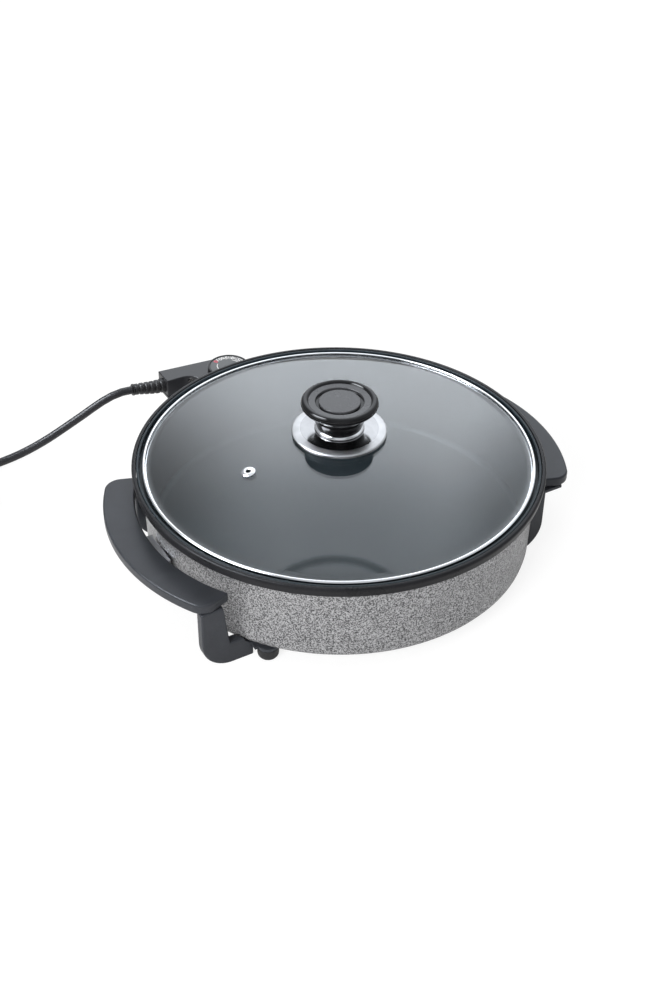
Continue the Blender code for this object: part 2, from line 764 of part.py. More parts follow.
def handles():
    for side, name in ((-1, "left"), (1, "right")):
        grip = plate(
            "handle_grip_" + name,
            grip_outline(side),
            GRIP_THICKNESS,
            FINISHES["bakelite"],
            PAN_AXIS,
            (0, 0, (GRIP_TOP + GRIP_BOTTOM) / 2),
        )
        bevel(grip, GRIP_EDGE, PLAIN_EDGE_STEPS)
        back = PAN_RADIUS + GAP
        tab_top = GRIP_BOTTOM - GAP
        tip = GRIP_INNER_REACH + 2 * BRACKET_SCREW_INSET
        angle = [
            (back, tab_top),
            (tip, tab_top),
            (tip, tab_top - BRACKET_THICKNESS),
            (back + BRACKET_THICKNESS, tab_top - BRACKET_THICKNESS),
            (back + BRACKET_THICKNESS, tab_top - BRACKET_DROP),
            (back, tab_top - BRACKET_DROP),
        ]
        bracket = plate(
            "handle_bracket_" + name,
            [(side * x, z) for x, z in angle],
            BRACKET_WIDTH,
            FINISHES["steel"],
            PAN_AXIS,
            (0, 0, 0),
            (math.pi / 2, 0, 0),
        )
        x = side * (GRIP_INNER_REACH + BRACKET_SCREW_INSET)
        seat = tab_top - BRACKET_THICKNESS
        shank_top = GRIP_BOTTOM + SCREW_GRIP_DEPTH
        hole = rod(
            "handle_screw_hole_" + name,
            SCREW_RADIUS + GAP,
            (x, 0, seat - OVERRUN),
            (x, 0, shank_top + GAP),
            None,
            PAN_AXIS,
        )
        cut(bracket, hole)
        cut(grip, hole)
        head = seat - GAP
        profile = [
            (0, shank_top),
            (SCREW_RADIUS, shank_top),
            (SCREW_RADIUS, head),
            (SCREW_HEAD_RADIUS, head),
            (SCREW_HEAD_RADIUS, head - SCREW_HEAD_HEIGHT / 2),
            (SCREW_RADIUS, head - SCREW_HEAD_HEIGHT),
            (0, head - SCREW_HEAD_HEIGHT),
        ]
        turned("handle_screw_" + name, profile, FINISHES["steel"], PAN_AXIS, SMALL_STEPS, (x, 0, 0))


def legs():
    """Each leg drops from a handle's end, bends under the pan and is held there by its foot.

    A tucked leg stands against the wall and reaches the handle with a shelf at its top.
    """
    top = GRIP_BOTTOM - GAP
    tab_top = PAN_CLEARANCE - GAP
    tab_bottom = tab_top - TAB_THICKNESS
    back_y = GRIP_HALF_WIDTH - LEG_THICKNESS
    room = PAN_RADIUS + LEG_WALL_CLEARANCE
    centre = (room - PAN_OUTER_CORNER, PAN_CLEARANCE + PAN_OUTER_CORNER)
    corner = PAN_OUTER_CORNER + GAP
    pan_shape = [(0, top + OVERRUN), (centre[0] + corner, top + OVERRUN)]
    pan_shape += arc(centre, corner, 0, -90, PAN_CORNER_STEPS)
    pan_shape.append((0, tab_top))
    pan_room = turned("pan_room", pan_shape, None, PAN_AXIS, ROUND_STEPS)
    for corner_name, (x_side, y_side) in CORNERS.items():
        foot_x, foot_y = foot_place(x_side, y_side)
        inner_x = abs(foot_x) + FOOT_RADIUS + LEG_END_CLEARANCE
        outer_x = LEG_OUTER - leg_tuck(x_side, y_side)
        outline = [
            (outer_x - LEG_TOP_WIDTH, top),
            (outer_x, top),
            *arc((outer_x - LEG_CORNER, LEG_CORNER), LEG_CORNER, 0, -90, LEG_CORNER_STEPS),
            (inner_x, 0),
            (inner_x, LEG_ARM_HEIGHT),
            (outer_x - LEG_ARM_WIDTH, LEG_ARM_HEIGHT),
        ]
        middle_y = GRIP_HALF_WIDTH - LEG_THICKNESS / 2
        leg = plate(
            "leg_" + corner_name,
            [(x_side * x, z) for x, z in outline],
            LEG_THICKNESS,
            FINISHES["bakelite"],
            PAN_AXIS,
            (0, y_side * middle_y, 0),
            (math.pi / 2, 0, 0),
        )
        bevel(leg, LEG_EDGE, PLAIN_EDGE_STEPS)
        near, far = x_side * abs(foot_x), x_side * (inner_x + OVERRUN)
        tab_in, tab_out = y_side * (back_y + LEG_EDGE), foot_y
        tab = box(
            "leg_tab_" + corner_name,
            (min(near, far), min(tab_in, tab_out), tab_bottom),
            (max(near, far), max(tab_in, tab_out), tab_top),
            None,
            PAN_AXIS,
        )
        eye = rod(
            "leg_eye_" + corner_name,
            FOOT_RADIUS,
            (foot_x, foot_y, tab_bottom),
            (foot_x, foot_y, tab_top),
            None,
            PAN_AXIS,
            2 * SMALL_STEPS,
        )
        peg_x = x_side * (LEG_OUTER - LEG_TOP_WIDTH / 2)
        peg_y = y_side * middle_y
        peg = rod(
            "leg_peg_" + corner_name,
            LEG_PEG_RADIUS,
            (peg_x, peg_y, top - OVERRUN),
            (peg_x, peg_y, top + LEG_PEG_HEIGHT),
            None,
            PAN_AXIS,
        )
        stud_hole = rod(
            "leg_hole_" + corner_name,
            STUD_RADIUS + GAP,
            (foot_x, foot_y, tab_bottom - OVERRUN),
            (foot_x, foot_y, tab_top + OVERRUN),
            None,
            PAN_AXIS,
        )
        cut(leg, pan_room)
        joined = [tab, eye, peg]
        if outer_x < LEG_OUTER:
            border = LEG_PEG_RADIUS + LEG_SHELF_BORDER
            shelf_ends = sorted((x_side * (outer_x - OVERRUN), peg_x + x_side * border))
            shelf = box(
                "leg_shelf_" + corner_name,
                (shelf_ends[0], peg_y - border, top - LEG_SHELF_THICKNESS),
                (shelf_ends[1], peg_y + border, top),
                None,
                PAN_AXIS,
            )
            joined.append(shelf)
        join(leg, *joined)
        cut(leg, stud_hole)
        socket = rod(
            "grip_socket_" + corner_name,
            LEG_PEG_RADIUS + GAP,
            (peg_x, peg_y, GRIP_BOTTOM - OVERRUN),
            (peg_x, peg_y, top + LEG_PEG_HEIGHT + GAP),
            None,
            PAN_AXIS,
        )
        cut(bpy.data.objects["handle_grip_" + ("left" if x_side < 0 else "right")], socket)
        foot_top = tab_bottom - GAP
        hole = STUD_RADIUS + GAP
        recess = NUT_RADIUS + GAP
        seat = NUT_RAISE + NUT_THICKNESS + GAP
        profile = [(hole, foot_top), (FOOT_RADIUS, foot_top)]
        centre = (FOOT_RADIUS - FOOT_ROUNDING, FOOT_ROUNDING)
        profile += arc(centre, FOOT_ROUNDING, 0, -90, FOOT_ROUNDING_STEPS)
        profile += [(recess, seat), (hole, seat)]
        turned(
            "foot_" + corner_name,
            profile,
            FINISHES["rubber"],
            PAN_AXIS,
            SMALL_STEPS,
            (foot_x, foot_y, 0),
        )


def lid():
    lip_height = GLASS_EDGE_TOP + GAP
    top = lip_height + LID_RING_WALL
    inner = LID_RING_RADIUS - LID_RING_WALL
    ring = [
        (LID_RING_RADIUS - LID_RING_TOP_LIP, top),
        (LID_RING_RADIUS - LID_RING_ROUNDING, top),
        (LID_RING_RADIUS, top - LID_RING_ROUNDING),
        (LID_RING_RADIUS, RING_BOTTOM + LID_RING_ROUNDING),
        (LID_RING_RADIUS - LID_RING_ROUNDING, RING_BOTTOM),
        (LID_RING_RADIUS - LID_RING_BOTTOM_LIP, RING_BOTTOM),
        (LID_RING_RADIUS - LID_RING_BOTTOM_LIP, RING_BOTTOM + LID_RING_WALL),
        (inner, RING_BOTTOM + LID_RING_WALL),
        (inner, lip_height),
        (LID_RING_RADIUS - LID_RING_TOP_LIP, lip_height),
    ]
    turned("lid_ring", ring, FINISHES["polished"], LID_AXIS, ROUND_STEPS)

    bore = KNOB_BORE + RUNNING
    radii = [bore + (DOME_RADIUS - bore) * i / GLASS_STEPS for i in range(GLASS_STEPS + 1)]
    profile = [(radius, dome(radius)) for radius in radii]
    profile += [
        (GLASS_RADIUS, GLASS_EDGE_TOP),
        (GLASS_RADIUS, GLASS_EDGE_BOTTOM),
    ]
    profile += [(radius, dome(radius) - GLASS_THICKNESS) for radius in reversed(radii)]
    glass = turned("lid_glass", profile, FINISHES["glass"], LID_AXIS, ROUND_STEPS)

    tilt = math.asin(VENT_RADIUS / DOME_SPHERE)
    seat = (
        VENT_RADIUS * math.cos(VENT_ANGLE),
        VENT_RADIUS * math.sin(VENT_ANGLE),
        dome(VENT_RADIUS),
    )
    turn = (0, tilt, VENT_ANGLE)
    low = -GLASS_THICKNESS - GAP
    eyelet = [
        (VENT_HOLE, GAP + VENT_FLANGE_HEIGHT),
        (VENT_TUBE, GAP + VENT_FLANGE_HEIGHT),
        (VENT_FLANGE, GAP + VENT_FLANGE_EDGE),
        (VENT_FLANGE, GAP),
        (VENT_TUBE, GAP),
        (VENT_TUBE, low),
        (VENT_LOWER_FLANGE, low),
        (VENT_LOWER_FLANGE, low - VENT_FLANGE_EDGE),
        (VENT_HOLE, low - VENT_FLANGE_HEIGHT),
    ]
    turned("vent_grommet", eyelet, FINISHES["polished"], LID_AXIS, SMALL_STEPS, seat, turn)
    hole_profile = [
        (0, GLASS_THICKNESS),
        (VENT_TUBE + GAP, GLASS_THICKNESS),
        (VENT_TUBE + GAP, -2 * GLASS_THICKNESS),
        (0, -2 * GLASS_THICKNESS),
    ]
    vent_hole = turned("vent_hole", hole_profile, None, LID_AXIS, SMALL_STEPS, seat, turn)
    cut(glass, vent_hole)


def knob():
    """The stack of pieces that the lid is lifted by, from the washer inside to the cap."""
    bore = KNOB_BORE + GAP
    gasket_top = GLASS_TOP + GAP + KNOB_GASKET_HEIGHT
    middle = (bore + KNOB_GASKET_RADIUS) / 2
    gasket = [
        (bore, gasket_top),
        (KNOB_GASKET_RADIUS, gasket_top),
        (KNOB_GASKET_RADIUS, dome(KNOB_GASKET_RADIUS) + GAP),
        (middle, dome(middle) + GAP),
        (bore, dome(bore) + GAP),
    ]
    turned("knob_gasket", gasket, FINISHES["rubber"], LID_AXIS, HIDDEN_STEPS)

    seat = gasket_top + GAP
    plate_top = seat + KNOB_FLANGE_WALL
    rounding = KNOB_FLANGE_ROUNDING
    flange = [
        (bore, plate_top + KNOB_FLANGE_RISE),
        (KNOB_COLLAR_RADIUS, plate_top + KNOB_FLANGE_RISE),
        (KNOB_FLANGE_RADIUS - rounding, plate_top),
        (KNOB_FLANGE_RADIUS, plate_top - rounding),
        (KNOB_FLANGE_RADIUS, plate_top - KNOB_FLANGE_SKIRT),
        (KNOB_FLANGE_RADIUS - KNOB_FLANGE_WALL, plate_top - KNOB_FLANGE_SKIRT),
        (KNOB_FLANGE_RADIUS - KNOB_FLANGE_WALL, seat),
        (bore, seat),
    ]
    turned("knob_flange", flange, FINISHES["polished"], LID_AXIS, KNOB_STEPS)

    base = plate_top + KNOB_FLANGE_RISE + GAP
    crown = base + KNOB_COLLAR_HEIGHT
    collar = [
        (bore, crown),
        (KNOB_COLLAR_RADIUS - KNOB_COLLAR_TAPER, crown),
        (KNOB_COLLAR_RADIUS, base + KNOB_COLLAR_HEIGHT / 2),
        (KNOB_COLLAR_RADIUS, base),
        (bore, base),
    ]
    turned("knob_collar", collar, FINISHES["polished"], LID_AXIS, KNOB_STEPS)

    foot = crown + GAP
    neck_top = foot + KNOB_NECK_HEIGHT
    flare_top = neck_top + KNOB_FLARE_HEIGHT
    rim_z = flare_top + KNOB_RIM_RADIUS
    rim_r = KNOB_RADIUS - KNOB_RIM_RADIUS
    face = rim_z + KNOB_RIM_RADIUS - KNOB_FACE_DROP
    groove = face - KNOB_GROOVE_DEPTH
    grip = [(0, groove), (KNOB_GROOVE_RADIUS, groove), (KNOB_GROOVE_RADIUS, face)]
    rim = arc((rim_r, rim_z), KNOB_RIM_RADIUS, 180, -90, KNOB_RIM_STEPS)
    grip += [(r, z) for r, z in rim if z > face or r > rim_r]
    grip += [
        (rim_r, flare_top),
        (KNOB_NECK_RADIUS, neck_top),
        (KNOB_COLLAR_RADIUS - KNOB_COLLAR_TAPER, foot),
        (bore, foot),
        (bore, flare_top - GAP),
        (0, flare_top - GAP),
    ]
    turned("knob_grip", grip, FINISHES["gloss_black"], LID_AXIS, KNOB_STEPS)

    cap_base = groove + GAP
    cap_top = cap_base + KNOB_CAP_THICKNESS
    cap = [
        (0, cap_top),
        (KNOB_CAP_RADIUS - KNOB_CAP_EDGE, cap_top),
        (KNOB_CAP_RADIUS, cap_top - KNOB_CAP_EDGE),
        (KNOB_CAP_RADIUS, cap_base),
        (0, cap_base),
    ]
    turned("knob_cap", cap, FINISHES["gloss_black"], LID_AXIS, KNOB_STEPS)

    washer_top = GLASS_TOP - GLASS_THICKNESS - GAP - (GLASS_TOP - dome(WASHER_RADIUS))
    washer_low = washer_top - WASHER_THICKNESS
    washer = [
        (bore, washer_top),
        (WASHER_RADIUS, washer_top),
        (WASHER_RADIUS, washer_low),
        (bore, washer_low),
    ]
    turned("knob_washer", washer, FINISHES["steel"], LID_AXIS, SMALL_STEPS)

    head = washer_low - GAP
    screw = [
        (0, flare_top - 2 * GAP),
        (KNOB_BORE, flare_top - 2 * GAP),
        (KNOB_BORE, head),
        (KNOB_BORE + SCREW_HEAD_RADIUS / 2, head),
        (KNOB_BORE + SCREW_HEAD_RADIUS / 2, head - SCREW_HEAD_HEIGHT / 2),
        (KNOB_BORE, head - SCREW_HEAD_HEIGHT),
        (0, head - SCREW_HEAD_HEIGHT),
    ]
    turned("knob_screw", screw, FINISHES["steel"], LID_AXIS, SMALL_STEPS)


def control_back(x, inset=0.0):
    """The slanting back of the thermostat, at this distance from its middle."""
    return CONTROL_BACK - math.tan(CONTROL_BACK_ANGLE) * (x + ARM_END) - inset


def control_outline(inset=0.0):
    """The L-shaped plan of the thermostat: a head towards the pan, and an arm that the cord leaves."""
    side = CONTROL_HALF_WIDTH - inset
    front = CONTROL_FRONT + inset
    end = -ARM_END + inset
    arm_front = CONTROL_BACK - ARM_DEPTH + inset
    fillet = ARM_FILLET + inset
    corner = CONTROL_CORNER - inset
    steps = CONTROL_CORNER_STEPS
    points = [(end, arm_front)]
    points += arc((-side - fillet, arm_front - fillet), fillet, 90, 0, ARM_FILLET_STEPS)
    points += arc((-side + corner, front + corner), corner, 180, 270, steps)
    points += arc((side - corner, front + corner), corner, -90, 0, steps)
    back = control_back(side, inset) - corner
    points += arc((side - corner, back), corner, 0, 90, steps)
    points.append((end, control_back(end, inset)))
    return points


def head_outline():
    """The rounded plan of the head alone, which goes on below the arm."""
    side = CONTROL_HALF_WIDTH - HEAD_STEP
    corner = CONTROL_CORNER - HEAD_STEP
    steps = CONTROL_CORNER_STEPS
    front = CONTROL_FRONT + CONTROL_CORNER
    back = control_back(side, HEAD_STEP) - corner
    points = arc((-side + corner, front), corner, 180, 270, steps)
    points += arc((side - corner, front), corner, -90, 0, steps)
    points += arc((side - corner, back), corner, 0, 90, steps)
    points += arc((-side + corner, back), corner, 90, 180, steps)
    return points


def control_plate(name, inset, bottom, top):
    """The L-shaped plan between two heights: a piece of the housing, or the hollow that it is inset for."""
    surface = None if inset else FINISHES["housing"]
    middle = (0, 0, (top + bottom) / 2)
    return plate(name, control_outline(inset), top - bottom, surface, CONTROL_AXIS, middle)


def control():
    """The plug-in thermostat. It gives the height at which the cam turns on the contact blade."""
    upper = control_plate("control_upper_shell", 0, CONTROL_SPLIT + GAP, CONTROL_TOP)
    ceiling = CONTROL_TOP - CONTROL_WALL
    hollow = control_plate("control_hollow", CONTROL_WALL, CONTROL_SPLIT - OVERRUN, ceiling)
    bevel(upper, CONTROL_EDGE)
    cut(upper, hollow)
    spindle_hole = rod(
        "spindle_hole",
        SPINDLE_RADIUS + GAP,
        (0, DIAL_Y, CONTROL_TOP - CONTROL_WALL - OVERRUN),
        (0, DIAL_Y, CONTROL_TOP + OVERRUN),
        None,
        CONTROL_AXIS,
    )
    relief_hole = rod(
        "relief_hole",
        RELIEF_NECK_RADIUS + GAP,
        (-ARM_END - OVERRUN, RELIEF_ROUTE[0][1], RELIEF_ROUTE[0][2]),
        (-ARM_END + CONTROL_WALL + OVERRUN, RELIEF_ROUTE[0][1], RELIEF_ROUTE[0][2]),
        None,
        CONTROL_AXIS,
    )
    fillet_centre = Vector(
        (
            -CONTROL_HALF_WIDTH - ARM_FILLET,
            CONTROL_BACK - ARM_DEPTH - ARM_FILLET,
            CONTROL_TOP - LENS_DROP,
        )
    )
    facing = Vector((math.cos(LENS_ANGLE), math.sin(LENS_ANGLE), 0))
    wall_face = fillet_centre + facing * ARM_FILLET
    lens_hole = rod(
        "lens_hole",
        LENS_RADIUS + GAP,
        wall_face - facing * OVERRUN,
        wall_face + facing * (CONTROL_WALL + OVERRUN),
        None,
        CONTROL_AXIS,
    )
    cut(upper, spindle_hole, relief_hole, lens_hole)
    rod(
        "pilot_lens",
        LENS_RADIUS,
        wall_face - facing * LENS_PROUD,
        wall_face + facing * (CONTROL_WALL + LENS_PROUD),
        FINISHES["lens"],
        CONTROL_AXIS,
    )

    lower = control_plate("control_lower_shell", 0, ARM_BOTTOM, CONTROL_SPLIT)
    head_back = control_back(CONTROL_HALF_WIDTH)
    head_top = ARM_BOTTOM + CONTROL_EDGE
    head = plate(
        "control_head",
        head_outline(),
        head_top - CONTROL_BOTTOM,
        None,
        CONTROL_AXIS,
        (0, 0, (head_top + CONTROL_BOTTOM) / 2),
    )
    bevel(head, CONTROL_EDGE)
    nose = box(
        "control_nose",
        (-NOSE_HALF_WIDTH, NOSE_FRONT, NOSE_BOTTOM),
        (NOSE_HALF_WIDTH, CONTROL_FRONT + CONTROL_WALL, NOSE_TOP),
        None,
        CONTROL_AXIS,
    )
    bevel(nose, CONTROL_EDGE, PLAIN_EDGE_STEPS)
    inside = CONTROL_HALF_WIDTH - 2 * CONTROL_WALL
    cavity = box(
        "control_cavity",
        (-inside, CONTROL_FRONT + CONTROL_WALL, CONTROL_BOTTOM + CONTROL_WALL),
        (inside, head_back - 2 * CONTROL_WALL, CONTROL_SPLIT + OVERRUN),
        None,
        CONTROL_AXIS,
    )
    join(lower, head, nose)
    cut(lower, cavity)
    deep = CONTROL_FRONT + CONTROL_WALL + OVERRUN
    for x, z, radius, name in (
        (-PIN_SPACING / 2, ELEMENT_Z, PIN_RADIUS + GAP + SLEEVE_WALL + GAP, "left"),
        (PIN_SPACING / 2, ELEMENT_Z, PIN_RADIUS + GAP + SLEEVE_WALL + GAP, "right"),
        (0, WELL_Z, PROBE_RADIUS + GAP, "probe"),
    ):
        hole = rod(
            "nose_hole_" + name,
            radius,
            (x, NOSE_FRONT - OVERRUN, z),
            (x, deep, z),
            None,
            CONTROL_AXIS,
        )
        cut(lower, hole)

    for side, name in ((-1, "left"), (1, "right")):
        start = NOSE_FRONT + GAP
        inner = PIN_RADIUS + GAP
        outer = inner + SLEEVE_WALL
        profile = [
            (inner, start + SLEEVE_LENGTH),
            (outer, start + SLEEVE_LENGTH),
            (outer, start),
            (inner, start),
        ]
        turned(
            "contact_sleeve_" + name,
            profile,
            FINISHES["brass"],
            CONTROL_AXIS,
            SMALL_STEPS,
            (side * PIN_SPACING / 2, 0, ELEMENT_Z),
            (-math.pi / 2, 0, 0),
        )
    sleeve_end = NOSE_FRONT + GAP + SLEEVE_LENGTH
    probe_end = GUARD_BACK - WELL_LENGTH
    block_y = sleeve_end + GAP
    probe = [
        (0, block_y + PROBE_TAIL),
        (PROBE_RADIUS, block_y + PROBE_TAIL),
        (PROBE_RADIUS, probe_end + PROBE_TIP),
        (PROBE_RADIUS - PROBE_TIP, probe_end),
        (0, probe_end),
    ]
    along_y = (-math.pi / 2, 0, 0)
    turned("probe_rod", probe, FINISHES["steel"], CONTROL_AXIS, SMALL_STEPS, (0, 0, WELL_Z), along_y)

    block_low = CONTROL_BOTTOM + CONTROL_WALL + GAP
    block_top = block_low + SWITCH_HEIGHT
    block = box(
        "switch_block",
        (-SWITCH_HALF_WIDTH, block_y, block_low),
        (SWITCH_HALF_WIDTH, block_y + SWITCH_DEPTH, block_top),
        FINISHES["ceramic"],
        CONTROL_AXIS,
    )
    bevel(block, SWITCH_EDGE)
    probe_hole = rod(
        "switch_probe_hole",
        PROBE_RADIUS + GAP,
        (0, block_y - OVERRUN, WELL_Z),
        (0, block_y + PROBE_TAIL + GAP, WELL_Z),
        None,
        CONTROL_AXIS,
    )
    spindle_socket = rod(
        "spindle_socket",
        SPINDLE_TAIL_RADIUS + GAP,
        (0, DIAL_Y, block_top - SPINDLE_SOCKET),
        (0, DIAL_Y, block_top + OVERRUN),
        None,
        CONTROL_AXIS,
    )
    cut(block, spindle_socket, probe_hole)
    blade_low = block_top + GAP
    box(
        "contact_blade",
        (BLADE_OFFSET - BLADE_WIDTH / 2, block_y + GAP, blade_low),
        (BLADE_OFFSET + BLADE_WIDTH / 2, block_y + SWITCH_DEPTH, blade_low + BLADE_THICKNESS),
        FINISHES["brass"],
        CONTROL_AXIS,
    )
    return blade_low + BLADE_THICKNESS + GAP


def dial(cam_low):
    top_inner = DIAL_RADIUS - DIAL_BEZEL
    seat = DIAL_TOP - DIAL_FACE_DROP - DIAL_FACE_THICKNESS - GAP
    spindle_top = seat - SPINDLE_RADIUS
    bore = SPINDLE_RADIUS + GAP
    profile = [
        (0, seat),
        (top_inner, seat),
        (top_inner, DIAL_TOP),
        (DIAL_RADIUS - DIAL_EDGE, DIAL_TOP),
        (DIAL_RADIUS, DIAL_TOP - DIAL_EDGE),
        (DIAL_SKIRT_RADIUS, DIAL_BASE),
        (bore, DIAL_BASE),
        (bore, spindle_top + GAP),
        (0, spindle_top + GAP),
    ]
    turned("dial_knob", profile, FINISHES["gloss_black"], DIAL_AXIS, KNOB_STEPS)
    face = [
        (0, seat + GAP + DIAL_FACE_THICKNESS),
        (top_inner - GAP, seat + GAP + DIAL_FACE_THICKNESS),
        (top_inner - GAP, seat + GAP),
        (0, seat + GAP),
    ]
    turned("dial_face", face, FINISHES["dial_grey"], DIAL_AXIS, KNOB_STEPS)
    spindle = [
        (0, spindle_top),
        (SPINDLE_RADIUS, spindle_top),
        (SPINDLE_RADIUS, cam_low + CAM_THICKNESS),
        (CAM_RADIUS, cam_low + CAM_THICKNESS),
        (CAM_RADIUS, cam_low),
        (SPINDLE_TAIL_RADIUS, cam_low),
        (SPINDLE_TAIL_RADIUS, cam_low - SPINDLE_TAIL),
        (0, cam_low - SPINDLE_TAIL),
    ]
    turned("dial_spindle", spindle, FINISHES["brass"], DIAL_AXIS, SMALL_STEPS)


def strain_relief():
    """A neck through the housing's wall, then a taper with ribs that bends with the cord."""
    start = Vector(RELIEF_ROUTE[0])
    inner = -ARM_END + CONTROL_WALL + GAP
    points = [(inner, start.y, start.z), (start.x + GAP / 2, start.y, start.z)]
    widths = [RELIEF_NECK_RADIUS, RELIEF_NECK_RADIUS]
    route = [Vector(p) for p in RELIEF_ROUTE]
    lengths = [0.0]
    for first, second in zip(route, route[1:]):
        lengths.append(lengths[-1] + (second - first).length)

    def at(distance):
        for i in range(len(route) - 1):
            if distance <= lengths[i + 1] or i == len(route) - 2:
                share = (distance - lengths[i]) / (lengths[i + 1] - lengths[i])
                return route[i].lerp(route[i + 1], share)
        return route[-1]

    total = lengths[-1]
    for rib in range(RELIEF_RIBS):
        for edge_share, proud in RIB_SHARES:
            share = (rib + edge_share) / RELIEF_RIBS
            taper = RELIEF_ROOT_RADIUS + (RELIEF_END_RADIUS - RELIEF_ROOT_RADIUS) * share
            points.append(at(share * total))
            widths.append(taper - (0 if proud else RELIEF_RIB))
    lip = total - 2 * RELIEF_RIB
    for distance in (lip, total):
        points.append(at(distance))
        widths.append(RELIEF_END_RADIUS + RELIEF_LIP)
    scaled = [width / RELIEF_ROOT_RADIUS for width in widths]
    tube(
        "strain_relief",
        points,
        RELIEF_ROOT_RADIUS,
        FINISHES["rubber"],
        CONTROL_AXIS,
        3,
        scaled,
    )


def coil_points():
    """The coil: in along the lower layer, up in the half turn at the least radius, and out again."""
    count = round(COIL_TURNS * COIL_LOOP_POINTS)
    half_turns = COIL_TURNS / 2
    least = COIL_MEAN_RADIUS - COIL_PITCH * half_turns / 2
    outer = least + COIL_PITCH * half_turns
    low = TIE_THICKNESS + GAP + CORD_DIAMETER / 2
    centre_x, start_y = COIL_CENTRE
    centre_y = start_y - outer
    points = []
    for i in range(count + 1):
        turns = i / COIL_LOOP_POINTS
        away = turns - half_turns
        radius = least + COIL_PITCH * abs(away)
        climb = min(1.0, max(0.0, 2 * away + 0.5))
        height = low + COIL_LAYER * climb * climb * (3 - 2 * climb)
        angle = math.pi / 2 + 2 * math.pi * turns
        points.append(
            Vector(
                (
                    centre_x + radius * math.cos(angle),
                    centre_y + radius * math.sin(angle),
                    height,
                )
            )
        )
    first_heading = Vector((-1, 0, 0))
    last_heading = Vector((0, -1, 0))
    points.insert(0, points[0] - first_heading * CORD_DIAMETER)
    points.append(points[-1] + last_heading * CORD_DIAMETER)
    return points


def least_self_gap(points):
    """The smallest distance between the tube's surface and itself, a third of a turn or more along it."""
    fine = []
    for start, end in zip(points, points[1:]):
        fine += [start.lerp(end, i / GAP_CHECK_SHARES) for i in range(GAP_CHECK_SHARES)]
    skip = round(GAP_CHECK_SHARES * COIL_LOOP_POINTS / 3)
    least = min(
        (fine[i] - fine[j]).length for i in range(len(fine)) for j in range(i + skip, len(fine))
    )
    return least - CORD_DIAMETER


def coil_tie(points):
    """A band round the bundle at one place, open between its two ends on the outer side."""
    centre_x, start_y = COIL_CENTRE
    half_turns = COIL_TURNS / 2
    least = COIL_MEAN_RADIUS - COIL_PITCH * half_turns / 2
    centre_y = start_y - least - COIL_PITCH * half_turns
    facing = Vector((math.cos(TIE_ANGLE), math.sin(TIE_ANGLE)))
    near = []
    for point in points:
        offset = Vector((point.x - centre_x, point.y - centre_y))
        if offset.normalized().dot(facing) > math.cos(2 * math.pi / COIL_LOOP_POINTS):
            near.append(offset.length)
    room = CORD_DIAMETER / 2 + GAP
    low, high = min(near) - room, max(near) + room
    bottom = TIE_THICKNESS
    top = TIE_THICKNESS + 2 * GAP + CORD_DIAMETER + COIL_LAYER

    def rounded(grow):
        corner = TIE_CORNER + grow
        steps = TIE_CORNER_STEPS
        x0, x1, z0, z1 = low - grow, high + grow, bottom - grow, top + grow
        return [
            *arc((x1 - corner, z1 - corner), corner, 0, 90, steps),
            *arc((x0 + corner, z1 - corner), corner, 90, 180, steps),
            *arc((x0 + corner, z0 + corner), corner, 180, 270, steps),
            *arc((x1 - corner, z0 + corner), corner, 270, 360, steps),
        ]

    where = (centre_x, centre_y, 0)
    turn = (math.pi / 2, 0, TIE_ANGLE)
    band = plate(
        "cord_tie", rounded(TIE_THICKNESS), TIE_WIDTH, FINISHES["rubber"], CONTROL_AXIS, where, turn
    )
    hole = plate(
        "cord_tie_hole", rounded(0), TIE_WIDTH + OVERRUN, None, CONTROL_AXIS, where, turn
    )
    cut(band, hole)


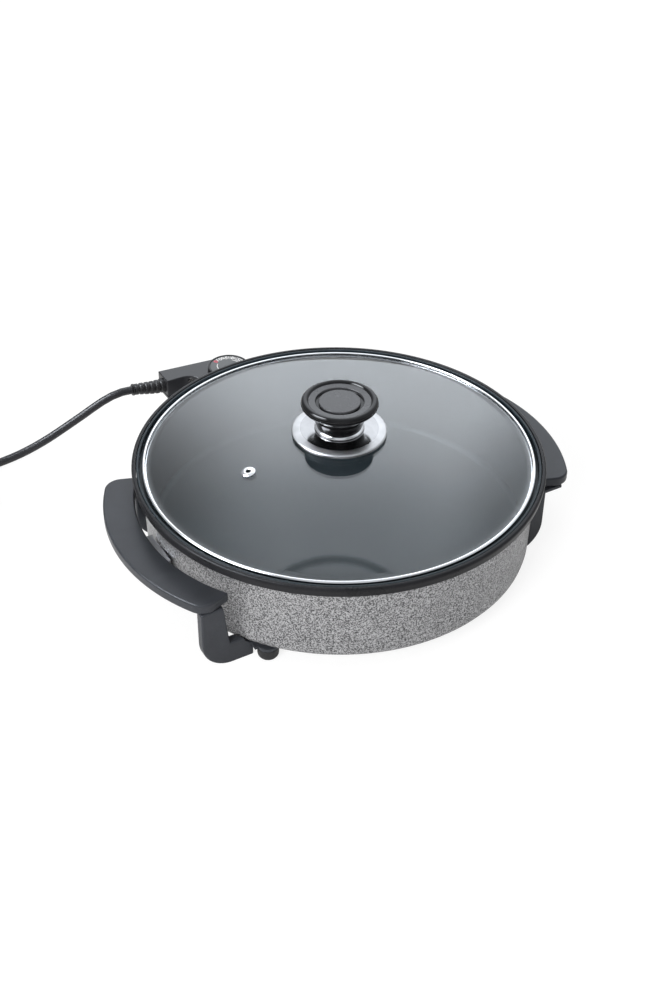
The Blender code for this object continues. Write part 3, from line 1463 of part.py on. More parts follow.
def cord():
    rubber = FINISHES["cord"]
    run = smooth_route(CORD_ROUTE, CORD_FINE_STEP)
    tube("cord_run", run, CORD_DIAMETER / 2, rubber, CONTROL_AXIS)
    coil = coil_points()
    tube("cord_coil", coil, CORD_DIAMETER / 2, rubber, CONTROL_AXIS, 1)
    gap = least_self_gap(coil)
    length = sum((b - a).length for route in (run, coil) for a, b in zip(route, route[1:]))
    print(f"coil: least gap to itself {gap * 1000:.2f} mm")
    coil_tie(coil)

    start = coil[-1] + Vector((0, -GAP, 0))
    end = start + Vector((0, -TAIL_LENGTH, PLUG_RADIUS - start.z))
    tail = []
    for i in range(TAIL_STEPS + 1):
        t = i / TAIL_STEPS
        ease = t * t * (3 - 2 * t)
        tail.append((start.x, start.y - TAIL_LENGTH * t, start.z + (end.z - start.z) * ease))
    tube("cord_tail", tail, CORD_DIAMETER / 2, rubber, CONTROL_AXIS)
    length += sum((Vector(b) - Vector(a)).length for a, b in zip(tail, tail[1:]))
    print(f"cord: length {length:.3f} m")

    back = -GAP
    face = back - PLUG_LENGTH
    shoulder = face + PLUG_FACE_LENGTH
    profile = [
        (0, back),
        (PLUG_GLAND_RADIUS, back),
        (PLUG_WAIST_RADIUS, back - PLUG_FACE_LENGTH / 2),
        (PLUG_WAIST_RADIUS, shoulder + PLUG_EDGE),
        (PLUG_RADIUS - PLUG_EDGE, shoulder),
        (PLUG_RADIUS, shoulder - PLUG_EDGE),
        (PLUG_RADIUS, face + PLUG_EDGE),
        (PLUG_RADIUS - PLUG_EDGE, face),
        (0, face),
    ]
    along_y = (-math.pi / 2, 0, 0)
    body = turned("plug_body", profile, rubber, CONTROL_AXIS, 2 * SMALL_STEPS, end, along_y)
    for side, name in ((-1, "left"), (1, "right")):
        x = end.x + side * PLUG_PIN_SPACING / 2
        y = end.y + face
        hole = rod(
            "plug_socket_" + name,
            PLUG_PIN_RADIUS + GAP,
            (x, y - OVERRUN, end.z),
            (x, y + PLUG_PIN_SINK + GAP, end.z),
            None,
            CONTROL_AXIS,
        )
        cut(body, hole)
        rod(
            "plug_pin_" + name,
            PLUG_PIN_RADIUS,
            (x, y - PLUG_PIN_LENGTH, end.z),
            (x, y + PLUG_PIN_SINK, end.z),
            FINISHES["steel"],
            CONTROL_AXIS,
        )


def settle():
    """Makes each part's modifiers its mesh, shaded smooth but for its edges."""
    bpy.context.view_layer.update()
    graph = bpy.context.evaluated_depsgraph_get()
    solids = [thing for thing in PARTS.objects if thing.type == "MESH"]
    meshes = [bpy.data.meshes.new_from_object(thing.evaluated_get(graph)) for thing in solids]
    for thing, mesh in zip(solids, meshes):
        thing.modifiers.clear()
        thing.data = mesh
        mesh.shade_smooth()
        mesh.set_sharp_from_angle(angle=SMOOTH_ANGLE)


clear_scene()
PARTS = collection("grill_pan")
CUTTERS = collection("cutters")
CUTTERS.hide_render = True
FINISHES = {
    "hammered": finish("hammered_grey", (0.33, 0.33, 0.34), 0.4, 0.6),
    "coating": finish("dark_coating", (0.035, 0.036, 0.04), 0.35),
    "bakelite": finish("black_bakelite", (0.035, 0.037, 0.042), 0.35),
    "gloss_black": finish("gloss_black", (0.012, 0.012, 0.013), 0.12),
    "housing": finish("control_housing", (0.03, 0.03, 0.033), 0.3),
    "dial_grey": finish("dial_grey", (0.06, 0.065, 0.065), 0.4),
    "rubber": finish("black_rubber", (0.018, 0.018, 0.019), 0.6),
    "cord": finish("cord_jacket", (0.02, 0.02, 0.021), 0.45),
    "polished": finish("polished_steel", (0.75, 0.75, 0.76), 0.12, 1.0),
    "steel": finish("plain_steel", (0.5, 0.5, 0.5), 0.35, 1.0),
    "sheath": finish("element_sheath", (0.12, 0.12, 0.12), 0.5, 0.8),
    "brass": finish("brass", (0.7, 0.5, 0.2), 0.3, 1.0),
    "ceramic": finish("switch_ceramic", (0.75, 0.73, 0.68), 0.5),
    "lens": finish("pilot_lens", (0.9, 0.85, 0.8), 0.1, 0.0, 0.6),
    "glass": finish("lid_glass", (0.95, 0.98, 0.98), 0.02, 0.0, 1.0),
}
PAN_AXIS = axis_empty("pan_axis", (0, AXIS_Y, 0))
LID_AXIS = axis_empty("lid_axis", (0, 0, 0), PAN_AXIS)
CONTROL_AXIS = axis_empty("control_axis", (0, 0, 0), PAN_AXIS)
DIAL_AXIS = axis_empty("dial_axis", (0, DIAL_Y, 0), CONTROL_AXIS)
pan()
heating()
inlet()
handles()
legs()
lid()
knob()
dial(control())
strain_relief()
cord()
settle()
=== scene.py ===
"""Round electric grill pan with a glass lid and a plug-in thermostat, dressed over its CAD frame.

Metres, +Z up. Each piece is shaped round the pan's own axis, and its mesh is then moved to where that axis
stands, so that every object keeps its origin at the scene's.
"""

import logging
import math
from dataclasses import dataclass, field
from enum import Enum
from typing import Callable, Iterable, Sequence, Union

import bmesh
import bpy
from mathutils import Euler, Matrix, Vector


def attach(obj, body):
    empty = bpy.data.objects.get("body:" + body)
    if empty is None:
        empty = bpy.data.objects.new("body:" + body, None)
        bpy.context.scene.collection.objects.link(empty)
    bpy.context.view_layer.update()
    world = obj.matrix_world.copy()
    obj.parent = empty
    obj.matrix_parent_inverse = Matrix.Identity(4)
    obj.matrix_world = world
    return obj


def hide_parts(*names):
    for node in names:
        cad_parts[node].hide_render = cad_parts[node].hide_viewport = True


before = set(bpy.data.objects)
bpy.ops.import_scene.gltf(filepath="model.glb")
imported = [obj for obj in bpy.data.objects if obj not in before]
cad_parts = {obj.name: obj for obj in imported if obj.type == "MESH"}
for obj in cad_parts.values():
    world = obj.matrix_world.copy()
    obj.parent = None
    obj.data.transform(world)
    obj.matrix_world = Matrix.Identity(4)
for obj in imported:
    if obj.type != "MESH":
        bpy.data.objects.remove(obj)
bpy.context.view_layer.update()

LOG = logging.getLogger("grill_pan")
AXIS_Y = -0.0359
GAP = 0.0003
PASS = 0.002
MERGE = 0.000001
FULL_TURN = 2 * math.pi
ROUND_STEPS = 160
KNOB_STEPS = 96
SMALL_STEPS = 32
ROUNDING_STEPS = 4
SMOOTH_ANGLE = math.radians(32)

Corner = tuple[float, ...]
Place = tuple[float, float, float]
Socket = bpy.types.NodeSocket
Work = bmesh.types.BMesh
Colour = tuple[float, float, float]
Ramp = tuple[float, float, float, float]
Value = Union[float, tuple, Socket]


class Body(Enum):
    """The bodies that pieces ride on."""

    PAN = "pan"
    LID = "lid"
    CONTROL = "control"
    DIAL = "dial"


class Combine(Enum):
    """How one solid works on another."""

    CUT = "DIFFERENCE"
    JOIN = "UNION"


class Side(Enum):
    """The two sides of the pan, as signs along X."""

    LEFT = -1
    RIGHT = 1

    @property
    def word(self) -> str:
        """The side's name as the nodes give it."""
        return self.name.lower()


class End(Enum):
    """The front and the rear of the pan, as signs along Y."""

    FRONT = -1
    REAR = 1


@dataclass(frozen=True)
class FootPlaces:
    """Where the feet stand: two that face each other across the pan stand nearer to the middle."""

    x: float = 0.11113
    y: float = 0.09031
    tuck: float = 0.0204

    def inset(self, side: Side, end: End) -> float:
        """How much nearer to the middle this corner's leg stands."""
        return self.tuck if side.value != end.value else 0.0

    def place(self, side: Side, end: End) -> tuple[float, float]:
        """The foot's place from the pan's axis."""
        return side.value * (self.x - self.inset(side, end)), end.value * self.y


# Materials


class Bench:
    """Adds nodes to one tree and joins them."""

    def __init__(self, tree: bpy.types.NodeTree) -> None:
        """Args:
            tree: the tree that the nodes go into.
        """
        self.tree = tree

    def add(
        self, kind: str, sockets: dict[Union[str, int], Value] | None = None, **settings: object
    ) -> bpy.types.Node:
        """Adds one node.

        Args:
            kind: the node's type without its prefix.
            sockets: values, or outputs to join, for the node's inputs.
            settings: the node's own properties.

        Returns:
            The new node.
        """
        node = self.tree.nodes.new("ShaderNode" + kind)
        for key, value in settings.items():
            setattr(node, key, value)
        for key, value in (sockets or {}).items():
            self.feed(node.inputs[key], value)
        return node

    def feed(self, socket: Socket, value: Value) -> None:
        """Sets an input to a value, or joins it to an output."""
        if isinstance(value, Socket):
            self.tree.links.new(value, socket)
        else:
            socket.default_value = value

    def spread(self, mask: Socket, low: float, high: float, start: float = 0.0, end: float = 1.0) -> Socket:
        """Carries a mask's range from start to end over to the range from low to high."""
        sockets = {"Value": mask, "From Min": start, "From Max": end, "To Min": low, "To Max": high}
        return self.add("MapRange", sockets).outputs["Result"]

    def soft(self, mask: Socket, start: float, end: float, low: float = 0.0, high: float = 1.0) -> Socket:
        """Goes smoothly from low to high as the mask goes from start to end."""
        sockets = {"Value": mask, "From Min": start, "From Max": end, "To Min": low, "To Max": high}
        return self.add("MapRange", sockets, interpolation_type="SMOOTHSTEP").outputs["Result"]

    def blend(self, mask: Socket, first: Colour, second: Colour) -> Socket:
        """Goes from one colour to another as the mask goes from 0 to 1."""
        node = self.add("Mix", {0: mask, 6: (*first, 1.0), 7: (*second, 1.0)}, data_type="RGBA")
        return node.outputs[2]

    def sums(self, first: Value, second: Value, operation: str = "ADD") -> Socket:
        """One step of arithmetic on two values."""
        return self.add("Math", {0: first, 1: second}, operation=operation).outputs[0]

    def noise(self, place: Socket, scale: Value, detail: float = 2.0, twist: float = 0.0) -> Socket:
        """The value of a noise at a place."""
        sockets = {"Vector": place, "Scale": scale, "Detail": detail, "Distortion": twist}
        return self.add("TexNoise", sockets).outputs[0]

    def own_place(self) -> Socket:
        """The surface's place in its object's own measure."""
        return self.add("TexCoord").outputs["Object"]

    def effect(self, group: bpy.types.NodeTree, place: Socket, size: float) -> bpy.types.Node:
        """Places a shared effect at one size."""
        node = self.add("Group", node_tree=group)
        self.feed(node.inputs["Place"], place)
        self.feed(node.inputs["Size"], size)
        return node

    def relief(self, height: Socket, depth: float, strength: float = 1.0) -> Socket:
        """A normal for a surface that rises by this depth where the height is 1."""
        sockets = {"Height": height, "Distance": depth, "Strength": strength}
        return self.add("Bump", sockets).outputs["Normal"]


def shared_effect(
    name: str, outputs: Sequence[str], fill: Callable[[Bench, Value, Value], Sequence[Value]]
) -> bpy.types.NodeTree:
    """Makes a group that turns a place and a size into masks.

    Args:
        name: the group's name.
        outputs: the names of its values.
        fill: makes the nodes from the place and one over the size, and gives the values.

    Returns:
        The group, which is made only once.
    """
    known = bpy.data.node_groups.get(name)
    if known:
        return known
    tree = bpy.data.node_groups.new(name, "ShaderNodeTree")
    tree.interface.new_socket(name="Place", in_out="INPUT", socket_type="NodeSocketVector")
    size = tree.interface.new_socket(name="Size", in_out="INPUT", socket_type="NodeSocketFloat")
    size.default_value = 0.001
    for output in outputs:
        tree.interface.new_socket(name=output, in_out="OUTPUT", socket_type="NodeSocketFloat")
    start, end = tree.nodes.new("NodeGroupInput"), tree.nodes.new("NodeGroupOutput")
    bench = Bench(tree)
    scale = bench.sums(1.0, start.outputs["Size"], "DIVIDE")
    for output, value in zip(outputs, fill(bench, start.outputs["Place"], scale)):
        tree.links.new(value, end.inputs[output])
    return tree


def hammertone() -> bpy.types.NodeTree:
    """Hammered enamel: pale cells that run into each other, dark lines between them, and flakes."""

    def fill(bench: Bench, place: Value, scale: Value) -> Sequence[Value]:
        worms = bench.noise(place, scale, 1.0, 0.6)
        cells = bench.spread(worms, 0.0, 1.0, 0.4, 0.6)
        flakes = bench.spread(
            bench.noise(place, bench.sums(scale, 3.1, "MULTIPLY"), 1.0), 0.0, 1.0, 0.35, 0.7
        )
        patches = bench.spread(
            bench.noise(place, bench.sums(scale, 0.06, "MULTIPLY"), 2.0), 0.0, 1.0, 0.35, 0.65
        )
        return cells, flakes, patches

    return shared_effect("hammertone", ("Cells", "Flakes", "Patches"), fill)


def moulded_grain() -> bpy.types.NodeTree:
    """The fine skin of moulded plastic or rubber."""

    def fill(bench: Bench, place: Value, scale: Value) -> Sequence[Value]:
        skin = bench.noise(place, scale, 3.0)
        pits = bench.add(
            "TexVoronoi", {"Vector": place, "Scale": bench.sums(scale, 0.6, "MULTIPLY")}
        ).outputs["Distance"]
        return bench.spread(skin, 0.0, 1.0, 0.3, 0.7), bench.spread(pits, 0.0, 1.0, 0.0, 0.6)

    return shared_effect("moulded_grain", ("Skin", "Pits"), fill)


def handling_marks() -> bpy.types.NodeTree:
    """Broad soft patches and faint fine scratches that use leaves on a surface."""

    def fill(bench: Bench, place: Value, scale: Value) -> Sequence[Value]:
        patches = bench.spread(bench.noise(place, scale, 4.0, 0.4), 0.0, 1.0, 0.38, 0.66)
        stretched = bench.add(
            "Mapping", {"Vector": place, "Rotation": (0.3, 0.2, 0.7), "Scale": (1.0, 14.0, 6.0)}
        ).outputs[0]
        hairs = bench.noise(stretched, bench.sums(scale, 9.0, "MULTIPLY"), 1.0)
        return patches, bench.spread(hairs, 0.0, 1.0, 0.66, 0.72)

    return shared_effect("handling_marks", ("Patches", "Hairs"), fill)


def turning_lines() -> bpy.types.NodeTree:
    """Fine rings that turning or polishing leaves round the pan's upright axis."""

    def fill(bench: Bench, place: Value, scale: Value) -> Sequence[Value]:
        centred = bench.add("Mapping", {"Vector": place, "Location": (0.0, -AXIS_Y, 0.0)}).outputs[0]
        parts = bench.add("SeparateXYZ", {"Vector": centred}).outputs
        flat = bench.add("CombineXYZ", {"X": parts["X"], "Y": parts["Y"]}).outputs[0]
        radius = bench.add("VectorMath", {0: flat}, operation="LENGTH").outputs["Value"]
        along = bench.sums(bench.sums(radius, parts["Z"]), scale, "MULTIPLY")
        rings = bench.add(
            "TexNoise", {"W": along, "Scale": 1.0, "Detail": 2.0}, noise_dimensions="1D"
        ).outputs[0]
        return (bench.spread(rings, 0.0, 1.0, 0.3, 0.7),)

    return shared_effect("turning_lines", ("Rings",), fill)


@dataclass(frozen=True)
class Finish:
    """A surface finish, made once and shared by the pieces that have it."""

    name: str
    slot: str

    def material(self) -> bpy.types.Material:
        """The finish's material, which is made when it is first asked for."""
        label = self.name + "_finish"
        known = bpy.data.materials.get(label)
        if known is None:
            known = bpy.data.materials.new(label)
            known.use_nodes = True
            self.dress(Bench(known.node_tree), known.node_tree.nodes["Principled BSDF"])
        return known

    def dress(self, bench: Bench, shader: bpy.types.Node) -> None:
        """Sets the shader up for this finish."""
        raise NotImplementedError


@dataclass(frozen=True)
class HammeredEnamel(Finish):
    """Silver-grey hammered enamel over a rolled wall."""

    pale: Colour
    dark: Colour
    cell: float
    depth: float

    def dress(self, bench: Bench, shader: bpy.types.Node) -> None:
        """Pale cells stand proud of dark lines, with a metal flake that catches the light."""
        place = bench.own_place()
        tone = bench.effect(hammertone(), place, self.cell)
        shade = bench.sums(
            bench.sums(tone.outputs["Cells"], 0.8, "MULTIPLY"),
            bench.sums(tone.outputs["Flakes"], 0.2, "MULTIPLY"),
        )
        bench.feed(shader.inputs["Base Color"], bench.blend(shade, self.dark, self.pale))
        bench.feed(shader.inputs["Roughness"], bench.spread(tone.outputs["Patches"], 0.26, 0.32))
        shader.inputs["Metallic"].default_value = 0.45
        bench.feed(shader.inputs["Normal"], bench.relief(shade, self.depth))


@dataclass(frozen=True)
class Moulding(Finish):
    """Moulded plastic, rubber, ceramic or paint: a plain colour with the skin that moulding gives."""

    colour: Colour
    tint: Colour
    smooth: float
    rough: float
    grain: float = 0.0004
    depth: float = 0.00002
    shine: float = 0.5

    def dress(self, bench: Bench, shader: bpy.types.Node) -> None:
        """A fine skin in the surface, and soft patches where it has been handled."""
        place = bench.own_place()
        skin = bench.effect(moulded_grain(), place, self.grain)
        marks = bench.effect(handling_marks(), place, 0.03)
        tone = bench.sums(
            bench.sums(skin.outputs["Skin"], 0.5, "MULTIPLY"),
            bench.sums(marks.outputs["Patches"], 0.5, "MULTIPLY"),
        )
        bench.feed(shader.inputs["Base Color"], bench.blend(tone, self.colour, self.tint))
        wear = bench.sums(
            bench.sums(marks.outputs["Patches"], 0.7, "MULTIPLY"),
            bench.sums(marks.outputs["Hairs"], 0.3, "MULTIPLY"),
        )
        bench.feed(shader.inputs["Roughness"], bench.spread(wear, self.smooth, self.rough))
        shader.inputs["Specular IOR Level"].default_value = self.shine
        bench.feed(shader.inputs["Normal"], bench.relief(skin.outputs["Skin"], self.depth))


@dataclass(frozen=True)
class NonStick(Finish):
    """Sprayed non-stick coating with small pale flecks."""

    colour: Colour
    fleck: Colour
    smooth: float
    rough: float
    shine: float

    def dress(self, bench: Bench, shader: bpy.types.Node) -> None:
        """Sparse flecks in a dark ground that is a little uneven."""
        place = bench.own_place()
        skin = bench.effect(moulded_grain(), place, 0.0007)
        marks = bench.effect(handling_marks(), place, 0.05)
        flecks = bench.spread(skin.outputs["Pits"], 1.0, 0.0, 0.06, 0.2)
        bench.feed(shader.inputs["Base Color"], bench.blend(flecks, self.colour, self.fleck))
        bench.feed(
            shader.inputs["Roughness"], bench.spread(marks.outputs["Patches"], self.smooth, self.rough)
        )
        shader.inputs["Specular IOR Level"].default_value = self.shine
        bench.feed(shader.inputs["Normal"], bench.relief(skin.outputs["Skin"], 0.000006))


@dataclass(frozen=True)
class Metal(Finish):
    """Bare or plated metal with the rings of its turning or polishing."""

    colour: Colour
    tint: Colour
    smooth: float
    rough: float
    pitch: float = 0.0003
    depth: float = 0.000004

    def dress(self, bench: Bench, shader: bpy.types.Node) -> None:
        """Rings in the gloss and in the surface, with faint marks of handling."""
        place = bench.own_place()
        rings = bench.effect(turning_lines(), place, self.pitch).outputs["Rings"]
        marks = bench.effect(handling_marks(), place, 0.02)
        bench.feed(
            shader.inputs["Base Color"], bench.blend(marks.outputs["Patches"], self.colour, self.tint)
        )
        wear = bench.sums(
            bench.sums(rings, 0.5, "MULTIPLY"), bench.sums(marks.outputs["Patches"], 0.5, "MULTIPLY")
        )
        bench.feed(shader.inputs["Roughness"], bench.spread(wear, self.smooth, self.rough))
        shader.inputs["Metallic"].default_value = 1.0
        bench.feed(shader.inputs["Normal"], bench.relief(rings, self.depth))


@dataclass(frozen=True)
class ClearGlass(Finish):
    """Clear glass that direct light passes."""

    colour: Colour
    shade: float
    haze: float

    def dress(self, bench: Bench, shader: bpy.types.Node) -> None:
        """Faint smears on glass that stops only a little of the light that falls through it."""
        marks = bench.effect(handling_marks(), bench.own_place(), 0.04)
        shader.inputs["Base Color"].default_value = (*self.colour, 1.0)
        shader.inputs["Transmission Weight"].default_value = 1.0
        shader.inputs["IOR"].default_value = 1.5
        bench.feed(shader.inputs["Roughness"], bench.spread(marks.outputs["Patches"], 0.0, self.haze))
        path = bench.add("LightPath")
        bench.feed(shader.inputs["Alpha"], bench.spread(path.outputs["Is Shadow Ray"], 1.0, self.shade))


HAMMERED = HammeredEnamel(
    "hammered_enamel",
    "hammered_grey",
    pale=(0.47, 0.47, 0.48),
    dark=(0.03, 0.03, 0.032),
    cell=0.00105,
    depth=0.00006,
)
COATING = NonStick(
    "non_stick_coating",
    "dark_coating",
    colour=(0.016, 0.023, 0.028),
    fleck=(0.038, 0.05, 0.058),
    smooth=0.34,
    rough=0.42,
    shine=0.17,
)
TRIM = Moulding(
    "rim_paint",
    "dark_coating",
    colour=(0.007, 0.007, 0.008),
    tint=(0.016, 0.016, 0.018),
    smooth=0.26,
    rough=0.4,
    grain=0.0009,
    depth=0.00004,
    shine=0.14,
)
BAKELITE = Moulding(
    "handle_bakelite",
    "black_bakelite",
    colour=(0.028, 0.03, 0.035),
    tint=(0.042, 0.045, 0.052),
    smooth=0.3,
    rough=0.36,
    grain=0.0006,
    depth=0.00001,
    shine=0.22,
)
GLOSS = Moulding(
    "gloss_black",
    "gloss_black",
    colour=(0.005, 0.005, 0.0055),
    tint=(0.008, 0.008, 0.009),
    smooth=0.04,
    rough=0.09,
    grain=0.001,
    depth=0.000002,
    shine=0.25,
)
# Satin black for the knob's face and cap: a rougher finish, with a colour paler than the gloss black that
# paints in the sheen the light above gives these flat faces.
SATIN_WITH_SHEEN = Moulding(
    "satin_black",
    "gloss_black",
    colour=(0.045, 0.046, 0.05),
    tint=(0.06, 0.061, 0.066),
    smooth=0.24,
    rough=0.32,
    grain=0.0005,
    depth=0.000004,
    shine=0.38,
)
HOUSING = Moulding(
    "control_housing",
    "control_housing",
    colour=(0.02, 0.0205, 0.023),
    tint=(0.032, 0.033, 0.036),
    smooth=0.14,
    rough=0.24,
    grain=0.0005,
    depth=0.000006,
    shine=0.28,
)
DIAL_GREY = Moulding(
    "dial_face_grey",
    "dial_grey",
    colour=(0.04, 0.043, 0.045),
    tint=(0.055, 0.058, 0.06),
    smooth=0.26,
    rough=0.36,
    grain=0.0003,
    depth=0.000006,
)
PRINT = Moulding(
    "dial_print",
    "dial_grey",
    colour=(0.7, 0.7, 0.7),
    tint=(0.82, 0.82, 0.82),
    smooth=0.35,
    rough=0.45,
    grain=0.0002,
    depth=0.000004,
)
RED_PRINT = Moulding(
    "dial_red_print",
    "dial_grey",
    colour=(0.62, 0.03, 0.07),
    tint=(0.72, 0.06, 0.1),
    smooth=0.35,
    rough=0.45,
    grain=0.0002,
    depth=0.000004,
)
RUBBER = Moulding(
    "black_rubber",
    "black_rubber",
    colour=(0.01, 0.01, 0.011),
    tint=(0.02, 0.02, 0.021),
    smooth=0.36,
    rough=0.52,
    grain=0.0005,
    depth=0.00003,
    shine=0.4,
)
JACKET = Moulding(
    "cord_jacket",
    "cord_jacket",
    colour=(0.012, 0.012, 0.014),
    tint=(0.022, 0.022, 0.025),
    smooth=0.32,
    rough=0.46,
    grain=0.0006,
    depth=0.00002,
    shine=0.4,
)
CERAMIC = Moulding(
    "switch_ceramic",
    "switch_ceramic",
    colour=(0.72, 0.7, 0.65),
    tint=(0.8, 0.79, 0.74),
    smooth=0.4,
    rough=0.6,
)
POLISHED = Metal(
    "polished_steel",
    "polished_steel",
    colour=(0.78, 0.78, 0.79),
    tint=(0.72, 0.72, 0.73),
    smooth=0.04,
    rough=0.12,
)
CHROME = Metal(
    "chrome_plate",
    "polished_steel",
    colour=(0.33, 0.33, 0.335),
    tint=(0.28, 0.28, 0.285),
    smooth=0.08,
    rough=0.15,
    pitch=0.0004,
    depth=0.000003,
)
# Brushed band on the knob's flange: a rougher finish, with a colour paler than the chrome plate that paints
# in the highlight the overhead light gives the band.
BRUSHED_WITH_HIGHLIGHT = Metal(
    "brushed_chrome_painted_highlight",
    "polished_steel",
    colour=(0.5, 0.5, 0.505),
    tint=(0.4, 0.4, 0.405),
    smooth=0.3,
    rough=0.4,
    pitch=0.0003,
    depth=0.000006,
)
STEEL = Metal(
    "plain_steel",
    "plain_steel",
    colour=(0.5, 0.5, 0.51),
    tint=(0.42, 0.42, 0.43),
    smooth=0.26,
    rough=0.42,
    pitch=0.0003,
    depth=0.000008,
)
SHEATH = Metal(
    "element_sheath",
    "element_sheath",
    colour=(0.13, 0.12, 0.115),
    tint=(0.19, 0.18, 0.17),
    smooth=0.42,
    rough=0.6,
    pitch=0.0004,
    depth=0.00001,
)
BRASS = Metal("brass", "brass", (0.72, 0.5, 0.2), (0.6, 0.42, 0.17), 0.2, 0.35)
GLASS = ClearGlass("lid_glass", "lid_glass", (0.955, 0.98, 0.99), 0.06, 0.01)
LENS = ClearGlass("pilot_lens", "pilot_lens", (0.95, 0.9, 0.86), 0.3, 0.05)


# Shapes


def arc(
    centre: tuple[float, float], radius: float, start: float, end: float, steps: int
) -> list[tuple[float, float]]:
    """Points on a circle from one angle to another, in degrees."""
    angles = [math.radians(start + (end - start) * i / steps) for i in range(steps + 1)]
    return [(centre[0] + radius * math.cos(a), centre[1] + radius * math.sin(a)) for a in angles]


def lathe(profile: Iterable[Corner], steps: int) -> Work:
    """Turns a profile round the Z axis.

    Args:
        profile: corners as radius, height and, where the corner is rounded, by how much. The profile closes
            on itself unless it starts on the axis.
        steps: how many faces go round.

    Returns:
        A closed solid.
    """
    work = bmesh.new()
    corners = list(profile)
    verts = [work.verts.new((corner[0], 0, corner[1])) for corner in corners]
    pairs = list(zip(verts, verts[1:]))
    if corners[0][0] > 0:
        pairs.append((verts[-1], verts[0]))
    for pair in pairs:
        work.edges.new(pair)
    for vert, corner in zip(verts, corners):
        if len(corner) > 2:
            bmesh.ops.bevel(
                work,
                geom=[vert],
                offset=corner[2],
                offset_type="OFFSET",
                affect="VERTICES",
                segments=ROUNDING_STEPS,
                profile=0.5,
                material=-1,
            )
    bmesh.ops.spin(
        work,
        geom=work.verts[:] + work.edges[:],
        cent=(0, 0, 0),
        axis=(0, 0, 1),
        angle=FULL_TURN,
        steps=steps,
        use_merge=True,
    )
    return closed(work)


def closed(work: Work) -> Work:
    """Merges what meets, and turns the faces outwards."""
    bmesh.ops.remove_doubles(work, verts=work.verts, dist=MERGE)
    bmesh.ops.recalc_face_normals(work, faces=work.faces)
    return work


def slab(outline: Sequence[tuple[float, float]], low: float, high: float) -> Work:
    """A flat outline in XY, made solid between two heights."""
    work = bmesh.new()
    face = work.faces.new([work.verts.new((x, y, low)) for x, y in outline])
    grown = bmesh.ops.extrude_face_region(work, geom=[face], use_keep_orig=True)["geom"]
    raised = [thing for thing in grown if isinstance(thing, bmesh.types.BMVert)]
    bmesh.ops.translate(work, vec=(0, 0, high - low), verts=raised)
    return closed(work)


def block(low: Place, high: Place) -> Work:
    """A box between two corners."""
    work = bmesh.new()
    size = Vector(high) - Vector(low)
    middle = (Vector(high) + Vector(low)) / 2
    bmesh.ops.create_cube(work, size=1, matrix=Matrix.Translation(middle) @ Matrix.Diagonal((*size, 1)))
    return work


def rod(radius: float, start: Place, end: Place, steps: int = SMALL_STEPS) -> Work:
    """A round bar between two points."""
    work = bmesh.new()
    run = Vector(end) - Vector(start)
    turn = run.to_track_quat("Z", "Y").to_matrix().to_4x4()
    place = Matrix.Translation((Vector(start) + Vector(end)) / 2) @ turn
    bmesh.ops.create_cone(
        work, cap_ends=True, segments=steps, radius1=radius, radius2=radius, depth=run.length, matrix=place
    )
    return work


def round_edges(work: Work, width: float, steps: int = 3, least: float = 40.0) -> Work:
    """Rounds the edges where faces meet at more than an angle in degrees."""
    sharp = [
        edge for edge in work.edges if edge.is_manifold and edge.calc_face_angle() > math.radians(least)
    ]
    bmesh.ops.bevel(
        work,
        geom=sharp,
        offset=width,
        offset_type="OFFSET",
        affect="EDGES",
        segments=steps,
        profile=0.5,
        material=-1,
        clamp_overlap=True,
    )
    return closed(work)


def moved(work: Work, matrix: Matrix) -> Work:
    """Moves a shape by a matrix."""
    bmesh.ops.transform(work, matrix=matrix, verts=work.verts)
    if matrix.determinant() < 0:
        bmesh.ops.reverse_faces(work, faces=work.faces)
    return work


def upright() -> Matrix:
    """Stands a shape made in XY up in XZ."""
    return Matrix.Rotation(math.pi / 2, 4, "X")


def along_y(x: float, y: float, z: float) -> Matrix:
    """Lays a shape turned round Z down along Y, from this place."""
    return Matrix.Translation((x, y, z)) @ Matrix.Rotation(-math.pi / 2, 4, "X")


def plain_object(name: str, work: Work) -> bpy.types.Object:
    """An object for a shape, without a finish."""
    mesh = bpy.data.meshes.new(name)
    work.to_mesh(mesh)
    work.free()
    thing = bpy.data.objects.new(name, mesh)
    bpy.context.scene.collection.objects.link(thing)
    return thing


def combined(work: Work, others: Iterable[Work], how: Combine) -> Work:
    """Cuts or joins other solids with one.

    Args:
        work: the solid that is kept.
        others: the solids that work on it.
        how: whether they are cut out or joined on.

    Returns:
        The new solid.
    """
    kept = plain_object("shape", work)
    helpers = [plain_object("helper", other) for other in others]
    for helper in helpers:
        modifier = kept.modifiers.new("combine", "BOOLEAN")
        modifier.operation = how.value
        modifier.object = helper
        modifier.solver = "EXACT"
    bpy.context.view_layer.update()
    mesh = bpy.data.meshes.new_from_object(kept.evaluated_get(bpy.context.evaluated_depsgraph_get()))
    result = bmesh.new()
    result.from_mesh(mesh)
    for thing in (kept, *helpers):
        data = thing.data
        bpy.data.objects.remove(thing)
        bpy.data.meshes.remove(data)
    bpy.data.meshes.remove(mesh)
    bmesh.ops.remove_doubles(result, verts=result.verts, dist=MERGE)
    return result


def together(shapes: Iterable[Work]) -> Work:
    """Puts several separate shapes into one."""
    result = bmesh.new()
    for shape in shapes:
        mesh = bpy.data.meshes.new("shape")
        shape.to_mesh(mesh)
        shape.free()
        result.from_mesh(mesh)
        bpy.data.meshes.remove(mesh)
    return result


def from_node(node: str) -> Work:
    """A copy of a CAD node's shape, merged, with its flat faces whole, round the pan's axis."""
    work = bmesh.new()
    work.from_mesh(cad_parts[node].data)
    bmesh.ops.remove_doubles(work, verts=work.verts, dist=MERGE)
    bmesh.ops.dissolve_limit(work, angle_limit=math.radians(1), verts=work.verts, edges=work.edges)
    bmesh.ops.translate(work, vec=(0, -AXIS_Y, 0), verts=work.verts)
    return work


